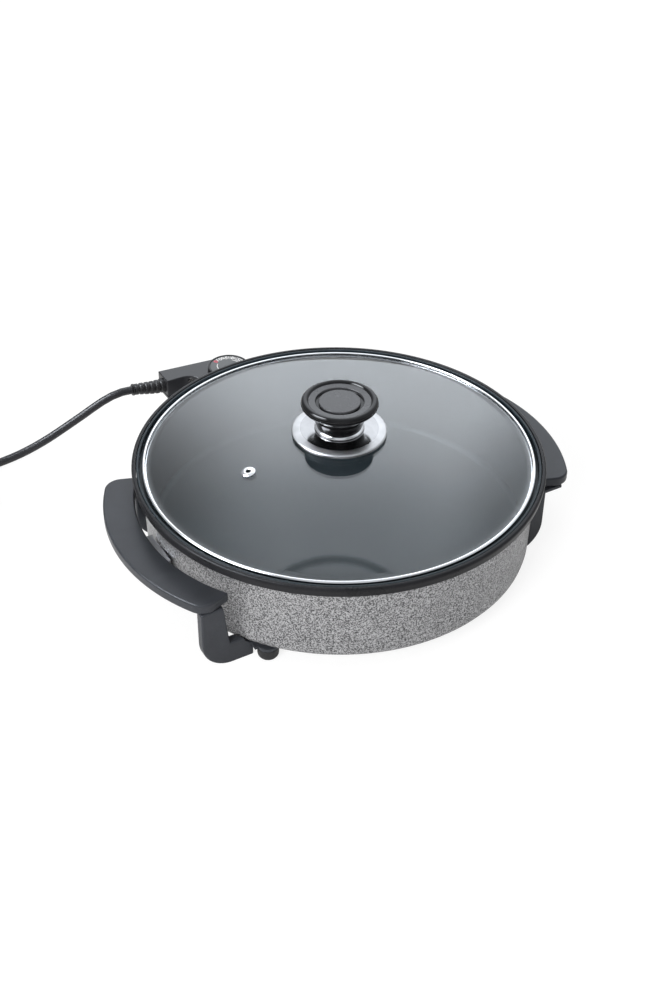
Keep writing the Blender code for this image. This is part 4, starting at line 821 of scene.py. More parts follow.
def piece(
    name: str,
    work: Work,
    finish: Finish,
    body: Body,
    nodes: Sequence[str] = (),
    extra: Sequence[Finish] = (),
) -> bpy.types.Object:
    """Finishes a shape as a piece of the object.

    Args:
        name: the piece's name.
        work: its shape round the pan's axis.
        finish: its main finish.
        body: the body that it rides on.
        nodes: the CAD nodes that it stands for.
        extra: finishes of faces with a material number above 0.

    Returns:
        The piece's object.
    """
    bmesh.ops.translate(work, vec=(0, AXIS_Y, 0), verts=work.verts)
    thing = plain_object(name, work)
    for each in (finish, *extra):
        thing.data.materials.append(each.material())
    thing.data.shade_smooth()
    thing.data.set_sharp_from_angle(angle=SMOOTH_ANGLE)
    normals = thing.modifiers.new("Even shading", "WEIGHTED_NORMAL")
    normals.keep_sharp = True
    return settled(thing, finish, body, nodes)


def settled(thing: bpy.types.Object, finish: Finish, body: Body, nodes: Sequence[str]) -> bpy.types.Object:
    """Gives a finished object its body, hides the CAD nodes that it stands for, and reports it."""
    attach(thing, body.value)
    if nodes:
        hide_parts(*nodes)
    LOG.info("%s: %s on %s, for %s", thing.name, finish.name, body.value, ", ".join(nodes) or "itself")
    return thing


def wire(
    name: str,
    points: Sequence[Vector],
    radius: float,
    finish: Finish,
    body: Body,
    nodes: Sequence[str],
    widths: Sequence[float] = (),
) -> bpy.types.Object:
    """A round tube along points given from the pan's axis.

    Args:
        name: the piece's name.
        points: the tube's centreline.
        radius: its radius.
        finish: its finish.
        body: the body that it rides on.
        nodes: the CAD nodes that it stands for.
        widths: shares of the radius at each point, where they differ.

    Returns:
        The tube as a curve object.
    """
    curve = bpy.data.curves.new(name, "CURVE")
    curve.dimensions = "3D"
    curve.bevel_depth = radius
    curve.bevel_resolution = 5
    curve.use_fill_caps = True
    spline = curve.splines.new("POLY")
    spline.points.add(len(points) - 1)
    spline.use_smooth = True
    for point, place in zip(spline.points, points):
        point.co = (place[0], place[1] + AXIS_Y, place[2], 1)
    for point, width in zip(spline.points, widths):
        point.radius = width
    thing = bpy.data.objects.new(name, curve)
    bpy.context.scene.collection.objects.link(thing)
    curve.materials.append(finish.material())
    return settled(thing, finish, body, nodes)


def smooth_route(points: Sequence[Place], step: float) -> list[Vector]:
    """A smooth curve through a route's points, read at about a steady step."""
    padded = [Vector(p) for p in (points[0], *points, points[-1])]
    padded[0] = 2 * padded[1] - padded[2]
    padded[-1] = 2 * padded[-2] - padded[-3]
    fine = []
    for before, start, end, after in zip(padded, padded[1:], padded[2:], padded[3:]):
        count = max(1, round((end - start).length / step))
        for i in range(count):
            t = i / count
            first = (end - before) * (t / 2)
            second = (2 * before - 5 * start + 4 * end - after) * (t * t / 2)
            third = (3 * start - before - 3 * end + after) * (t**3 / 2)
            fine.append(start + first + second + third)
    fine.append(padded[-2])
    return fine


# The object's sub-assemblies


@dataclass(frozen=True)
class Vessel:
    """The pan itself, with its rim trim."""

    radius: float = 0.1515
    taper: float = 0.0012
    wall: float = 0.0025
    base_low: float = 0.013
    base_top: float = 0.016
    outer_corner: float = 0.006
    inner_corner: float = 0.005
    ledge: float = 0.0793
    shelf: float = 0.077
    flange: float = 0.1552
    flange_wall: float = 0.002
    rim_radius: float = 0.1588
    rim_top: float = 0.085
    rim_low: float = 0.0776
    stud: float = 0.0016
    stud_low: float = 0.0009
    inlet_stud_low: float = 0.007
    feet: FootPlaces = FootPlaces()
    inlet_place: tuple[float, float] = (0.01985, 0.1388)

    def build(self) -> None:
        """Makes the pan and the band round its rim."""
        self.pan()
        self.rim()

    def pan(self) -> None:
        """A pan with a rounded corner, a ledge for the lid, and an upright flange."""
        low = self.radius - self.taper
        inner = self.flange - self.flange_wall
        profile = [
            (0, self.base_top),
            (low - self.wall, self.base_top, self.inner_corner),
            (self.radius - self.wall, self.ledge, 0.0008),
            (inner, self.ledge, 0.0004),
            (inner, self.rim_top - GAP, 0.0006),
            (self.flange, self.rim_top - GAP, 0.0006),
            (self.flange, self.shelf, 0.0005),
            (self.radius, self.shelf, 0.002),
            (low, self.base_low, self.outer_corner),
            (self.stud, self.base_low),
            (self.stud, self.stud_low),
            (0, self.stud_low),
        ]
        work = lathe(profile, ROUND_STEPS)
        for face in work.faces:
            middle = face.calc_center_median()
            radius = Vector((middle.x, middle.y)).length
            lining = radius < self.radius - self.wall / 2 - self.taper and middle.z > self.base_top - GAP
            if lining or middle.z > self.ledge - GAP:
                face.material_index = 1
        studs = []
        for side in Side:
            for end in End:
                x, y = self.feet.place(side, end)
                studs.append(rod(self.stud, (x, y, self.stud_low), (x, y, self.base_low + GAP), 16))
            x, y = side.value * self.inlet_place[0], self.inlet_place[1]
            studs.append(rod(self.stud, (x, y, self.inlet_stud_low), (x, y, self.base_low + GAP), 16))
        for stud in studs:
            for face in stud.faces:
                face.material_index = 2
        shape = together([work, *studs])
        piece("pan_vessel", shape, HAMMERED, Body.PAN, ["pan_body"], [COATING, STEEL])

    def rim(self) -> None:
        """The dark band round the flange."""
        inner = self.flange + GAP
        profile = [
            (inner, self.rim_low),
            (inner, self.rim_top, 0.0005),
            (self.rim_radius - 0.0002, self.rim_top, 0.0014),
            (self.rim_radius, self.rim_top - 0.0022, 0.0006),
            (self.rim_radius - 0.0008, self.rim_low, 0.0006),
        ]
        piece("rim_band", lathe(profile, ROUND_STEPS), TRIM, Body.PAN, ["rim_trim"])


@dataclass(frozen=True)
class Underside:
    """What is under the pan: element, reflector, inlet guard and probe well."""

    element_radius: float = 0.0035
    element_z: float = 0.0092
    loop: float = 0.088
    opening: float = 28.0
    pin_spacing: float = 0.022
    guard_back: float = 0.152
    reflector: float = 0.104
    reflector_low: float = 0.0035
    reflector_wall: float = 0.0008
    rim: float = 0.0127
    notch: float = 0.026
    well_radius: float = 0.0042
    well_wall: float = 0.0012
    well_z: float = 0.0085
    well_length: float = 0.04

    def build(self) -> None:
        """Makes each piece in turn."""
        self.element()
        self.dish()
        self.well()
        guard = round_edges(from_node("inlet_guard"), 0.0003, 2, 60)
        piece("inlet_shroud", guard, BAKELITE, Body.PAN, ["inlet_guard"])

    def element(self) -> None:
        """The sheathed element: a loop with two leads to the inlet."""
        half = self.pin_spacing / 2
        tip = Vector((half, self.guard_back - GAP))
        loop = arc((0, 0), self.loop, 90 - self.opening, -270 + self.opening, 96)
        start = tip - Vector((0, 2 * self.element_radius))
        bend = Vector((half, self.loop + 0.013))
        lead = [tip]
        for i in range(24):
            t = i / 24
            lead.append((1 - t) ** 2 * start + 2 * t * (1 - t) * bend + t * t * Vector(loop[0]))
        points = [Vector((x, y, self.element_z)) for x, y in (*lead, *loop)]
        points += [Vector((-p.x, p.y, self.element_z)) for p in reversed(lead)]
        wire("element_tube", points, self.element_radius, SHEATH, Body.PAN, ["heating_element"])

    def dish(self) -> None:
        """The dished reflector with its notch for the leads."""
        edge, wall = self.reflector + 0.004, self.reflector_wall
        lip, hole = edge + 0.004, 0.0022
        profile = [
            (hole, self.reflector_low + wall),
            (self.reflector - wall, self.reflector_low + wall, 0.002),
            (edge - wall, self.rim, 0.001),
            (lip, self.rim, 0.0003),
            (lip, self.rim - wall, 0.0003),
            (edge, self.rim - wall, 0.001),
            (self.reflector, self.reflector_low, 0.002),
            (hole, self.reflector_low),
        ]
        notch = block(
            (-self.notch, self.reflector - 0.013, self.reflector_low - PASS),
            (self.notch, lip + PASS, self.rim + PASS),
        )
        work = combined(lathe(profile, KNOB_STEPS), [notch], Combine.CUT)
        piece("reflector_dish", work, STEEL, Body.PAN, ["reflector_plate"])

    def well(self) -> None:
        """The tube that takes the probe."""
        bore = self.well_radius - self.well_wall
        profile = [
            (bore, 0),
            (self.well_radius, 0, 0.0003),
            (self.well_radius, -self.well_length, 0.0003),
            (bore, -self.well_length),
        ]
        work = moved(lathe(profile, SMALL_STEPS), along_y(0, self.guard_back - GAP, self.well_z))
        piece("probe_tube", work, STEEL, Body.PAN, ["probe_well"])


@dataclass(frozen=True)
class SideHandles:
    """The two crescent grips with the steel angles that carry them."""

    reach: float = 0.1845
    inner_reach: float = 0.1595
    outer_arc: float = 0.153
    inner_arc: float = 0.1394
    half_width: float = 0.0839
    corner: float = 0.013
    end_slope: float = 20.0
    top: float = 0.0619
    bottom: float = 0.0539
    edge: float = 0.0015
    screw_place: float = 0.1675
    screw_radius: float = 0.002
    screw_top: float = 0.0594
    peg_place: tuple[float, float] = (0.15075, 0.0799)
    peg_radius: float = 0.003
    peg_top: float = 0.0576

    def build(self) -> None:
        """Makes both grips and their angles."""
        for side in Side:
            self.grip(side)
            angle = round_edges(from_node("handle_bracket_" + side.word), 0.0002, 2, 60)
            piece("grip_angle_" + side.word, angle, STEEL, Body.PAN, ["handle_bracket_" + side.word])

    def outline(self) -> list[tuple[float, float]]:
        """The right grip's crescent: two arcs with rounded outer corners and slanting ends."""
        outer, inner = self.reach - self.outer_arc, self.inner_reach - self.inner_arc
        corner_y = self.half_width - self.corner
        tangent = math.asin(corner_y / (self.outer_arc - self.corner))
        corner_x = outer + corner_y / math.tan(tangent)
        sweep = math.degrees(tangent)
        upper = arc((outer, 0), self.outer_arc, 0, sweep, 28)
        upper += arc((corner_x, corner_y), self.corner, sweep, 90 + self.end_slope, 14)[1:]
        x, y = upper[-1]
        slope = math.radians(self.end_slope)
        run_x, run_y = -math.cos(slope), -math.sin(slope)
        along = (x - inner) * run_x + y * run_y
        miss = (x - inner) ** 2 + y**2 - self.inner_arc**2
        reach = -along - math.sqrt(along**2 - miss)
        meet = Vector((x + reach * run_x, y + reach * run_y))
        inner_sweep = math.degrees(math.atan2(meet.y, meet.x - inner))
        upper += arc((inner, 0), self.inner_arc, inner_sweep, 0, 28)
        return upper + [(px, -py) for px, py in reversed(upper[1:-1])]

    def grip(self, side: Side) -> None:
        """One grip, with the blind holes for its screw and its legs' pegs."""
        outline = [(side.value * x, y) for x, y in self.outline()]
        work = round_edges(slab(outline, self.bottom, self.top), self.edge, 4)
        holes = [self.hole(side.value * self.screw_place, 0, self.screw_radius, self.screw_top)]
        for end in End:
            x, y = side.value * self.peg_place[0], end.value * self.peg_place[1]
            holes.append(self.hole(x, y, self.peg_radius, self.peg_top))
        work = combined(work, holes, Combine.CUT)
        piece("grip_" + side.word, work, BAKELITE, Body.PAN, ["handle_grip_" + side.word])

    def hole(self, x: float, y: float, radius: float, top: float) -> Work:
        """A cutter for a hole in the grip's underside."""
        return rod(radius + GAP, (x, y, self.bottom - PASS), (x, y, top + GAP), 24)


@dataclass(frozen=True)
class Legs:
    """The four bent legs with their round feet."""

    outer: float = 0.1596
    thickness: float = 0.008
    top: float = 0.0536
    top_width: float = 0.0177
    arm_width: float = 0.0216
    arm_height: float = 0.019
    corner: float = 0.023
    edge: float = 0.0013
    middle_y: float = 0.0799
    pan_room: float = 0.152
    pan_corner: float = 0.006
    tab_low: float = 0.01
    tab_top: float = 0.0127
    feet: FootPlaces = FootPlaces()
    foot_radius: float = 0.008
    foot_rounding: float = 0.0042
    foot_top: float = 0.0097
    stud: float = 0.0016
    nut: float = 0.003
    nut_top: float = 0.0034
    peg_radius: float = 0.003
    peg_height: float = 0.004
    shelf: float = 0.0024
    shelf_border: float = 0.0006

    def build(self) -> None:
        """Makes a leg and a foot at each corner."""
        for side in Side:
            for end in End:
                self.leg(side, end)
                self.foot(side, end)

    def leg(self, side: Side, end: End) -> None:
        """A leg that drops from the grip's end, bends under the pan and ends in an eye round a stud."""
        x_foot, y_foot = (abs(value) for value in self.feet.place(side, end))
        inner = x_foot + self.foot_radius + 0.0005
        outer = self.outer - self.feet.inset(side, end)
        outline = [
            (outer - self.top_width, self.top),
            (outer, self.top),
            *arc((outer - self.corner, self.corner), self.corner, 0, -90, 20),
            (inner, 0),
            (inner, self.arm_height),
            (outer - self.arm_width, self.arm_height),
        ]
        shape = slab(outline, -self.thickness / 2, self.thickness / 2)
        shape = round_edges(
            moved(shape, Matrix.Translation((0, self.middle_y, 0)) @ upright()), self.edge, 4, 30
        )
        centre = self.pan_room - self.pan_corner
        corner = self.pan_corner + GAP
        room = [(0, self.top + PASS), (centre + corner, self.top + PASS)]
        room += arc((centre, 0.019), corner, 0, -90, 12)
        room.append((0, self.tab_top))
        shape = combined(shape, [lathe(room, 96)], Combine.CUT)
        back = self.middle_y - self.thickness / 2 + self.edge
        tab = block((x_foot, back, self.tab_low), (inner + PASS, y_foot, self.tab_top))
        eye = rod(self.foot_radius, (x_foot, y_foot, self.tab_low), (x_foot, y_foot, self.tab_top), 48)
        peg_x = self.outer - self.top_width / 2
        peg = rod(
            self.peg_radius,
            (peg_x, self.middle_y, self.top - PASS),
            (peg_x, self.middle_y, self.top + self.peg_height),
        )
        joined = [tab, eye, peg]
        if outer < self.outer:
            border = self.peg_radius + self.shelf_border
            low = (outer - PASS, self.middle_y - border, self.top - self.shelf)
            joined.append(block(low, (peg_x + border, self.middle_y + border, self.top)))
        shape = combined(shape, joined, Combine.JOIN)
        hole = rod(
            self.stud + GAP,
            (x_foot, y_foot, self.tab_low - PASS),
            (x_foot, y_foot, self.tab_top + PASS),
            24,
        )
        shape = combined(shape, [hole], Combine.CUT)
        shape = moved(shape, Matrix.Diagonal((side.value, end.value, 1, 1)))
        where = end.name.lower() + "_" + side.word
        piece("bent_leg_" + where, shape, BAKELITE, Body.PAN, ["leg_" + where])

    def foot(self, side: Side, end: End) -> None:
        """A rubber foot with its nut's recess."""
        hole, recess = self.stud + GAP, self.nut + GAP
        seat = self.nut_top + GAP
        profile = [
            (hole, self.foot_top),
            (self.foot_radius, self.foot_top, 0.0004),
            (self.foot_radius, 0, self.foot_rounding),
            (recess, 0, 0.0003),
            (recess, seat),
            (hole, seat),
        ]
        place = Matrix.Translation((*self.feet.place(side, end), 0))
        where = end.name.lower() + "_" + side.word
        piece("round_foot_" + where, moved(lathe(profile, 48), place), RUBBER, Body.PAN, ["foot_" + where])


@dataclass(frozen=True)
class Lid:
    """The domed glass in its steel channel, with the vent."""

    ring: float = 0.151
    ring_wall: float = 0.0008
    ring_low: float = 0.0796
    ring_top: float = 0.0848
    top_lip: float = 0.0026
    low_lip: float = 0.0038
    glass: float = 0.1499
    edge_low: float = 0.0807
    edge_top: float = 0.0837
    dome: float = 0.1464
    rise: float = 0.0234
    thickness: float = 0.003
    bore: float = 0.0032
    vent_radius: float = 0.0808
    vent_angle: float = 183.8
    vent_hole: float = 0.0018
    vent_lip: float = 0.0036
    vent_edge: float = 0.0054
    vent_top: float = 0.0014
    vent_shank: float = 0.0031
    vent_flare: float = 0.0046
    vent_depths: tuple[float, float, float] = (0.0033, 0.0037, 0.0044)

    @property
    def sphere(self) -> float:
        """The radius of the sphere that the glass's upper side is part of."""
        return (self.dome**2 + self.rise**2) / (2 * self.rise)

    def height(self, radius: float) -> float:
        """The height of the glass's upper side at a radius."""
        return self.edge_top + self.rise - self.sphere + math.sqrt(self.sphere**2 - radius**2)

    def vent_place(self) -> Matrix:
        """Stands a shape turned round Z on the glass, where the vent is."""
        angle = math.radians(self.vent_angle)
        place = (
            self.vent_radius * math.cos(angle),
            self.vent_radius * math.sin(angle),
            self.height(self.vent_radius),
        )
        tilt = Euler((0, math.asin(self.vent_radius / self.sphere), angle)).to_matrix().to_4x4()
        return Matrix.Translation(place) @ tilt

    def build(self) -> None:
        """Makes the glass, its ring and its vent."""
        self.pane()
        self.channel()
        self.vent()

    def pane(self) -> None:
        """The domed glass with a flat brim and its two holes."""
        radii = [self.bore + (self.dome - self.bore) * i / 40 for i in range(41)]
        profile: list[Corner] = [(r, self.height(r)) for r in radii]
        profile += [(self.glass, self.edge_top, 0.0006), (self.glass, self.edge_low, 0.0006)]
        profile += [(r, self.height(r) - self.thickness) for r in reversed(radii)]
        hole = [(0, self.thickness), (0.0034, self.thickness), (0.0034, -0.006), (0, -0.006)]
        work = combined(
            lathe(profile, ROUND_STEPS), [moved(lathe(hole, SMALL_STEPS), self.vent_place())], Combine.CUT
        )
        piece("lid_dome", work, GLASS, Body.LID, ["lid_glass"])

    def channel(self) -> None:
        """The rolled steel channel round the glass."""
        inner, lip = self.ring - self.ring_wall, self.ring_top - self.ring_wall
        step = self.ring_low + self.ring_wall
        profile = [
            (self.ring - self.top_lip, self.ring_top, 0.0008),
            (self.ring, self.ring_top, 0.0015),
            (self.ring, self.ring_low, 0.0011),
            (self.ring - self.low_lip, self.ring_low, 0.0003),
            (self.ring - self.low_lip, step, 0.0003),
            (inner, step, 0.0002),
            (inner, lip, 0.0002),
            (self.ring - self.top_lip, lip, 0.0003),
        ]
        piece("lid_channel", lathe(profile, ROUND_STEPS), POLISHED, Body.LID, ["lid_ring"])

    def vent(self) -> None:
        """The steel eyelet that lets steam out."""
        profile = [
            (self.vent_hole, self.vent_top, 0.0005),
            (self.vent_lip, self.vent_top, 0.0008),
            (self.vent_edge, self.vent_top / 2, 0.0002),
            (self.vent_edge, GAP),
            (self.vent_shank, GAP),
            (self.vent_shank, -self.vent_depths[0]),
            (self.vent_flare, -self.vent_depths[0]),
            (self.vent_flare, -self.vent_depths[1], 0.0002),
            (self.vent_hole, -self.vent_depths[2], 0.0005),
        ]
        piece(
            "vent_eyelet",
            moved(lathe(profile, 48), self.vent_place()),
            POLISHED,
            Body.LID,
            ["vent_grommet"],
        )


@dataclass(frozen=True)
class LidKnob:
    """The knob's stack on the glass: gasket, chrome flange, collar, grip and cap."""

    lid: Lid
    bore: float = 0.0029
    gasket: float = 0.034
    gasket_top: float = 0.1083
    flange: float = 0.0364
    flange_low: float = 0.1086
    flange_top: float = 0.1098
    flange_rise: float = 0.0005
    crown: float = 0.0017
    edge_round: float = 0.0007
    bead: float = 0.0006
    skirt: float = 0.0034
    wall: float = 0.0012
    collar: float = 0.019
    collar_taper: float = 0.0014
    brushed_highlight_band: float = 0.0298
    collar_low: float = 0.1106
    collar_top: float = 0.1132
    foot: float = 0.1135
    neck: float = 0.0212
    neck_top: float = 0.1237
    flare_top: float = 0.1293
    rim_place: tuple[float, float] = (0.0262, 0.1325)
    rim: float = 0.00313
    face: float = 0.1339
    groove: float = 0.0184
    groove_low: float = 0.1321
    cap: float = 0.0158
    cap_top: float = 0.134

    def build(self) -> None:
        """Turns each piece of the stack."""
        middle = (self.bore + self.gasket) / 2
        seal = [(self.bore, self.gasket_top), (self.gasket, self.gasket_top, 0.0003)]
        seal += [(r, self.lid.height(r) + GAP) for r in (self.gasket, middle, self.bore)]
        self.turn("seal", seal, RUBBER, "knob_gasket")
        low = self.flange_top - self.skirt
        high = self.flange_top + self.flange_rise
        crown = [self.collar + (self.flange - self.edge_round - self.collar) * i / 24 for i in range(25)]
        plate = [
            (self.bore, high),
            *[
                (
                    r, high - self.crown * ((r - self.collar) / (self.flange - self.collar)) ** 3
                ) for r in crown
            ],
            (self.flange, high - self.crown - self.edge_round / 2, self.edge_round / 2),
            (self.flange, low + 2 * self.bead, 0.0003),
            (self.flange - self.bead / 2, low + 1.5 * self.bead, 0.0002),
            (self.flange, low + self.bead, 0.0002),
            (self.flange, low, 0.0003),
            (self.flange - self.wall, low, 0.0004),
            (self.flange - self.wall, self.flange_low, 0.0004),
            (self.bore, self.flange_low),
        ]
        flange = lathe(plate, KNOB_STEPS)
        # Upper faces beyond this radius take the brushed band, whose paler colour is painted highlight.
        for face in flange.faces:
            middle = face.calc_center_median()
            reach = Vector((middle.x, middle.y)).length
            if middle.z > self.flange_top - self.skirt / 2 and reach > self.brushed_highlight_band:
                face.material_index = 1
        piece("knob_turned_flange", flange, CHROME, Body.LID, ["knob_flange"], [BRUSHED_WITH_HIGHLIGHT])
        bead = [
            (self.bore, self.collar_top),
            (self.collar - self.collar_taper, self.collar_top, 0.0004),
            (self.collar, (self.collar_low + self.collar_top) / 2, 0.0008),
            (self.collar, self.collar_low, 0.0003),
            (self.bore, self.collar_low),
        ]
        self.turn("collar", bead, POLISHED, "knob_collar")
        grip = lathe(self.grip_profile(), KNOB_STEPS)
        # The face inside the rim takes the satin black, whose paler colour is painted sheen.
        for face in grip.faces:
            middle = face.calc_center_median()
            reach = Vector((middle.x, middle.y)).length
            if middle.z > self.groove_low + GAP and reach < self.rim_place[0] - self.rim:
                face.material_index = 1
        piece("knob_turned_grip", grip, GLOSS, Body.LID, ["knob_grip"], [SATIN_WITH_SHEEN])
        disc = [
            (0, self.cap_top),
            (self.cap, self.cap_top, 0.0006),
            (self.cap, self.groove_low + GAP),
            (0, self.groove_low + GAP),
        ]
        # The cap's satin black carries painted sheen in its paler colour.
        self.turn("cap", disc, SATIN_WITH_SHEEN, "knob_cap")

    def grip_profile(self) -> list[Corner]:
        """A waisted neck under a broad face with a round rim."""
        rim_r, rim_z = self.rim_place
        round_rim = arc((rim_r, rim_z), self.rim, 180, -90, 32)
        return [
            (0, self.groove_low),
            (self.groove, self.groove_low, 0.0004),
            (self.groove, self.face, 0.0005),
            *[(r, z) for r, z in round_rim if z > self.face or r > rim_r],
            (rim_r - 0.0002, self.flare_top, 0.0001),
            (self.neck, self.neck_top, 0.003),
            (self.collar - self.collar_taper, self.foot, 0.0005),
            (self.bore, self.foot),
            (self.bore, self.flare_top - GAP),
            (0, self.flare_top - GAP),
        ]

    def turn(self, name: str, profile: list[Corner], finish: Finish, node: str) -> None:
        """Turns one piece of the stack."""
        piece("knob_turned_" + name, lathe(profile, KNOB_STEPS), finish, Body.LID, [node])


@dataclass(frozen=True)
class Thermostat:
    """The plug-in control: its two shells, lens, probe and sleeves."""

    front: float = 0.1705
    back: float = 0.2306
    half_width: float = 0.022
    top: float = 0.0485
    bottom: float = 0.0026
    split: float = 0.0325
    back_slope: float = 5.3
    wall: float = 0.0022
    corner: float = 0.007
    edge: float = 0.0009
    step: float = 0.0006
    arm_end: float = 0.0497
    arm_depth: float = 0.0192
    arm_bottom: float = 0.0303
    fillet: float = 0.014
    nose_front: float = 0.156
    nose_half: float = 0.0208
    nose_low: float = 0.0046
    nose_top: float = 0.0209
    dial_y: float = 0.1905
    spindle: float = 0.003
    relief_place: tuple[float, float] = (0.2209, 0.0394)
    relief_neck: float = 0.0036
    lens: float = 0.0022
    lens_drop: float = 0.0042
    lens_angle: float = 55.0
    pin_spacing: float = 0.022
    pin_radius: float = 0.002
    pin_z: float = 0.0092
    probe: float = 0.0025
    probe_z: float = 0.0085
    sleeve_length: float = 0.02
    probe_end: float = 0.112

    def slanted_back(self, x: float, inset: float = 0.0) -> float:
        """Where the slanting back is, at this distance from the middle."""
        return self.back - math.tan(math.radians(self.back_slope)) * (x + self.arm_end) - inset

    def outline(self, inset: float = 0.0) -> list[tuple[float, float]]:
        """The L-shaped plan: a head towards the pan, and an arm that the cord leaves."""
        side, front = self.half_width - inset, self.front + inset
        arm_front = self.back - self.arm_depth + inset
        fillet, corner = self.fillet + inset, self.corner - inset
        back = self.slanted_back(side, inset) - corner
        return [
            (-self.arm_end + inset, arm_front),
            *arc((-side - fillet, arm_front - fillet), fillet, 90, 0, 18),
            *arc((-side + corner, front + corner), corner, 180, 270, 12),
            *arc((side - corner, front + corner), corner, -90, 0, 12),
            *arc((side - corner, back), corner, 0, 90, 12),
            (-self.arm_end + inset, self.slanted_back(-self.arm_end + inset, inset)),
        ]

    def head(self) -> list[tuple[float, float]]:
        """The plan of the head alone, which goes on below the arm."""
        side, corner = self.half_width - self.step, self.corner - self.step
        front = self.front + self.corner
        back = self.slanted_back(side, self.step) - corner
        points = arc(
            (-side + corner, front), corner, 180, 270, 12
        ) + arc((side - corner, front), corner, -90, 0, 12)
        return points + arc((side - corner, back), corner, 0, 90, 12) + arc(
            (-side + corner, back), corner, 90, 180, 12
        )

    def build(self) -> None:
        """Makes the shells and what shows of the inside."""
        self.upper()
        self.lower()
        self.contacts()
        for node, finish in (("switch_block", CERAMIC), ("contact_blade", BRASS)):
            piece("inner_" + node, from_node(node), finish, Body.CONTROL, [node])

    def lens_axis(self) -> tuple[Vector, Vector]:
        """The lens's place on the fillet's wall, and the way it points into the housing."""
        centre = Vector(
            (
                -self.half_width - self.fillet,
                self.back - self.arm_depth - self.fillet,
                self.top - self.lens_drop,
            )
        )
        angle = math.radians(self.lens_angle)
        facing = Vector((math.cos(angle), math.sin(angle), 0))
        return centre + facing * self.fillet, facing

    def upper(self) -> None:
        """The upper shell, with the holes for spindle, strain relief and lens."""
        shell = round_edges(slab(self.outline(), self.split + GAP, self.top), self.edge, 3, 60)
        hollow = slab(self.outline(self.wall), self.split - PASS, self.top - self.wall)
        shell = combined(shell, [hollow], Combine.CUT)
        relief_y, relief_z = self.relief_place
        face, facing = self.lens_axis()
        holes = [
            rod(
                self.spindle + GAP,
                (0, self.dial_y, self.top - self.wall - PASS),
                (0, self.dial_y, self.top + PASS),
            ),
            rod(
                self.relief_neck + GAP,
                (-self.arm_end - PASS, relief_y, relief_z),
                (-self.arm_end + self.wall + PASS, relief_y, relief_z),
            ),
            rod(self.lens + GAP, face - facing * PASS, face + facing * (self.wall + PASS)),
        ]
        piece(
            "housing_upper",
            combined(shell, holes, Combine.CUT),
            HOUSING,
            Body.CONTROL,
            ["control_upper_shell"],
        )
        lens = round_edges(
            rod(self.lens, face - facing * 0.0008, face + facing * (self.wall + 0.0008)), 0.0004, 3
        )
        piece("lens_bead", lens, LENS, Body.CONTROL, ["pilot_lens"])

    def lower(self) -> None:
        """The lower shell: the arm's floor, the head below it, and the nose that enters the inlet."""
        floor = slab(self.outline(), self.arm_bottom, self.split)
        head_top = self.arm_bottom + 0.0008
        head = round_edges(slab(self.head(), self.bottom, head_top), self.edge, 3, 60)
        nose = block(
            (-self.nose_half, self.nose_front, self.nose_low),
            (self.nose_half, self.front + self.wall, self.nose_top),
        )
        shell = combined(floor, [head, round_edges(nose, self.edge, 3)], Combine.JOIN)
        inside = self.half_width - 2 * self.wall
        rear = self.slanted_back(self.half_width) - 2 * self.wall
        cavity = block(
            (-inside, self.front + self.wall, self.bottom + self.wall),
            (inside, rear, self.split + PASS),
        )
        deep = self.front + self.wall + PASS
        sleeve = self.pin_radius + 2 * GAP + 0.0009
        half = self.pin_spacing / 2
        cutters = [cavity]
        for x, z, radius in (
            (-half, self.pin_z, sleeve), (half, self.pin_z, sleeve), (0, self.probe_z, self.probe + GAP)
        ):
            cutters.append(rod(radius, (x, self.nose_front - PASS, z), (x, deep, z)))
        piece(
            "housing_lower",
            combined(shell, cutters, Combine.CUT),
            HOUSING,
            Body.CONTROL,
            ["control_lower_shell"],
        )

    def contacts(self) -> None:
        """The two brass sleeves and the temperature probe."""
        start = self.nose_front + GAP
        inner = self.pin_radius + GAP
        outer = inner + 0.0009
        for side in Side:
            profile = [
                (inner, 0, 0.0002),
                (outer, 0, 0.0003),
                (outer, self.sleeve_length, 0.0002),
                (inner, self.sleeve_length),
            ]
            work = moved(
                lathe(profile, SMALL_STEPS), along_y(side.value * self.pin_spacing / 2, start, self.pin_z)
            )
            piece("brass_sleeve_" + side.word, work, BRASS, Body.CONTROL, ["contact_sleeve_" + side.word])
        tail = start + self.sleeve_length + GAP + 0.012
        profile = [(0, tail), (self.probe, tail), (self.probe, self.probe_end, 0.0012), (0, self.probe_end)]
        work = moved(lathe(profile, SMALL_STEPS), along_y(0, 0, self.probe_z))
        piece("probe_stem", work, STEEL, Body.CONTROL, ["probe_rod"])


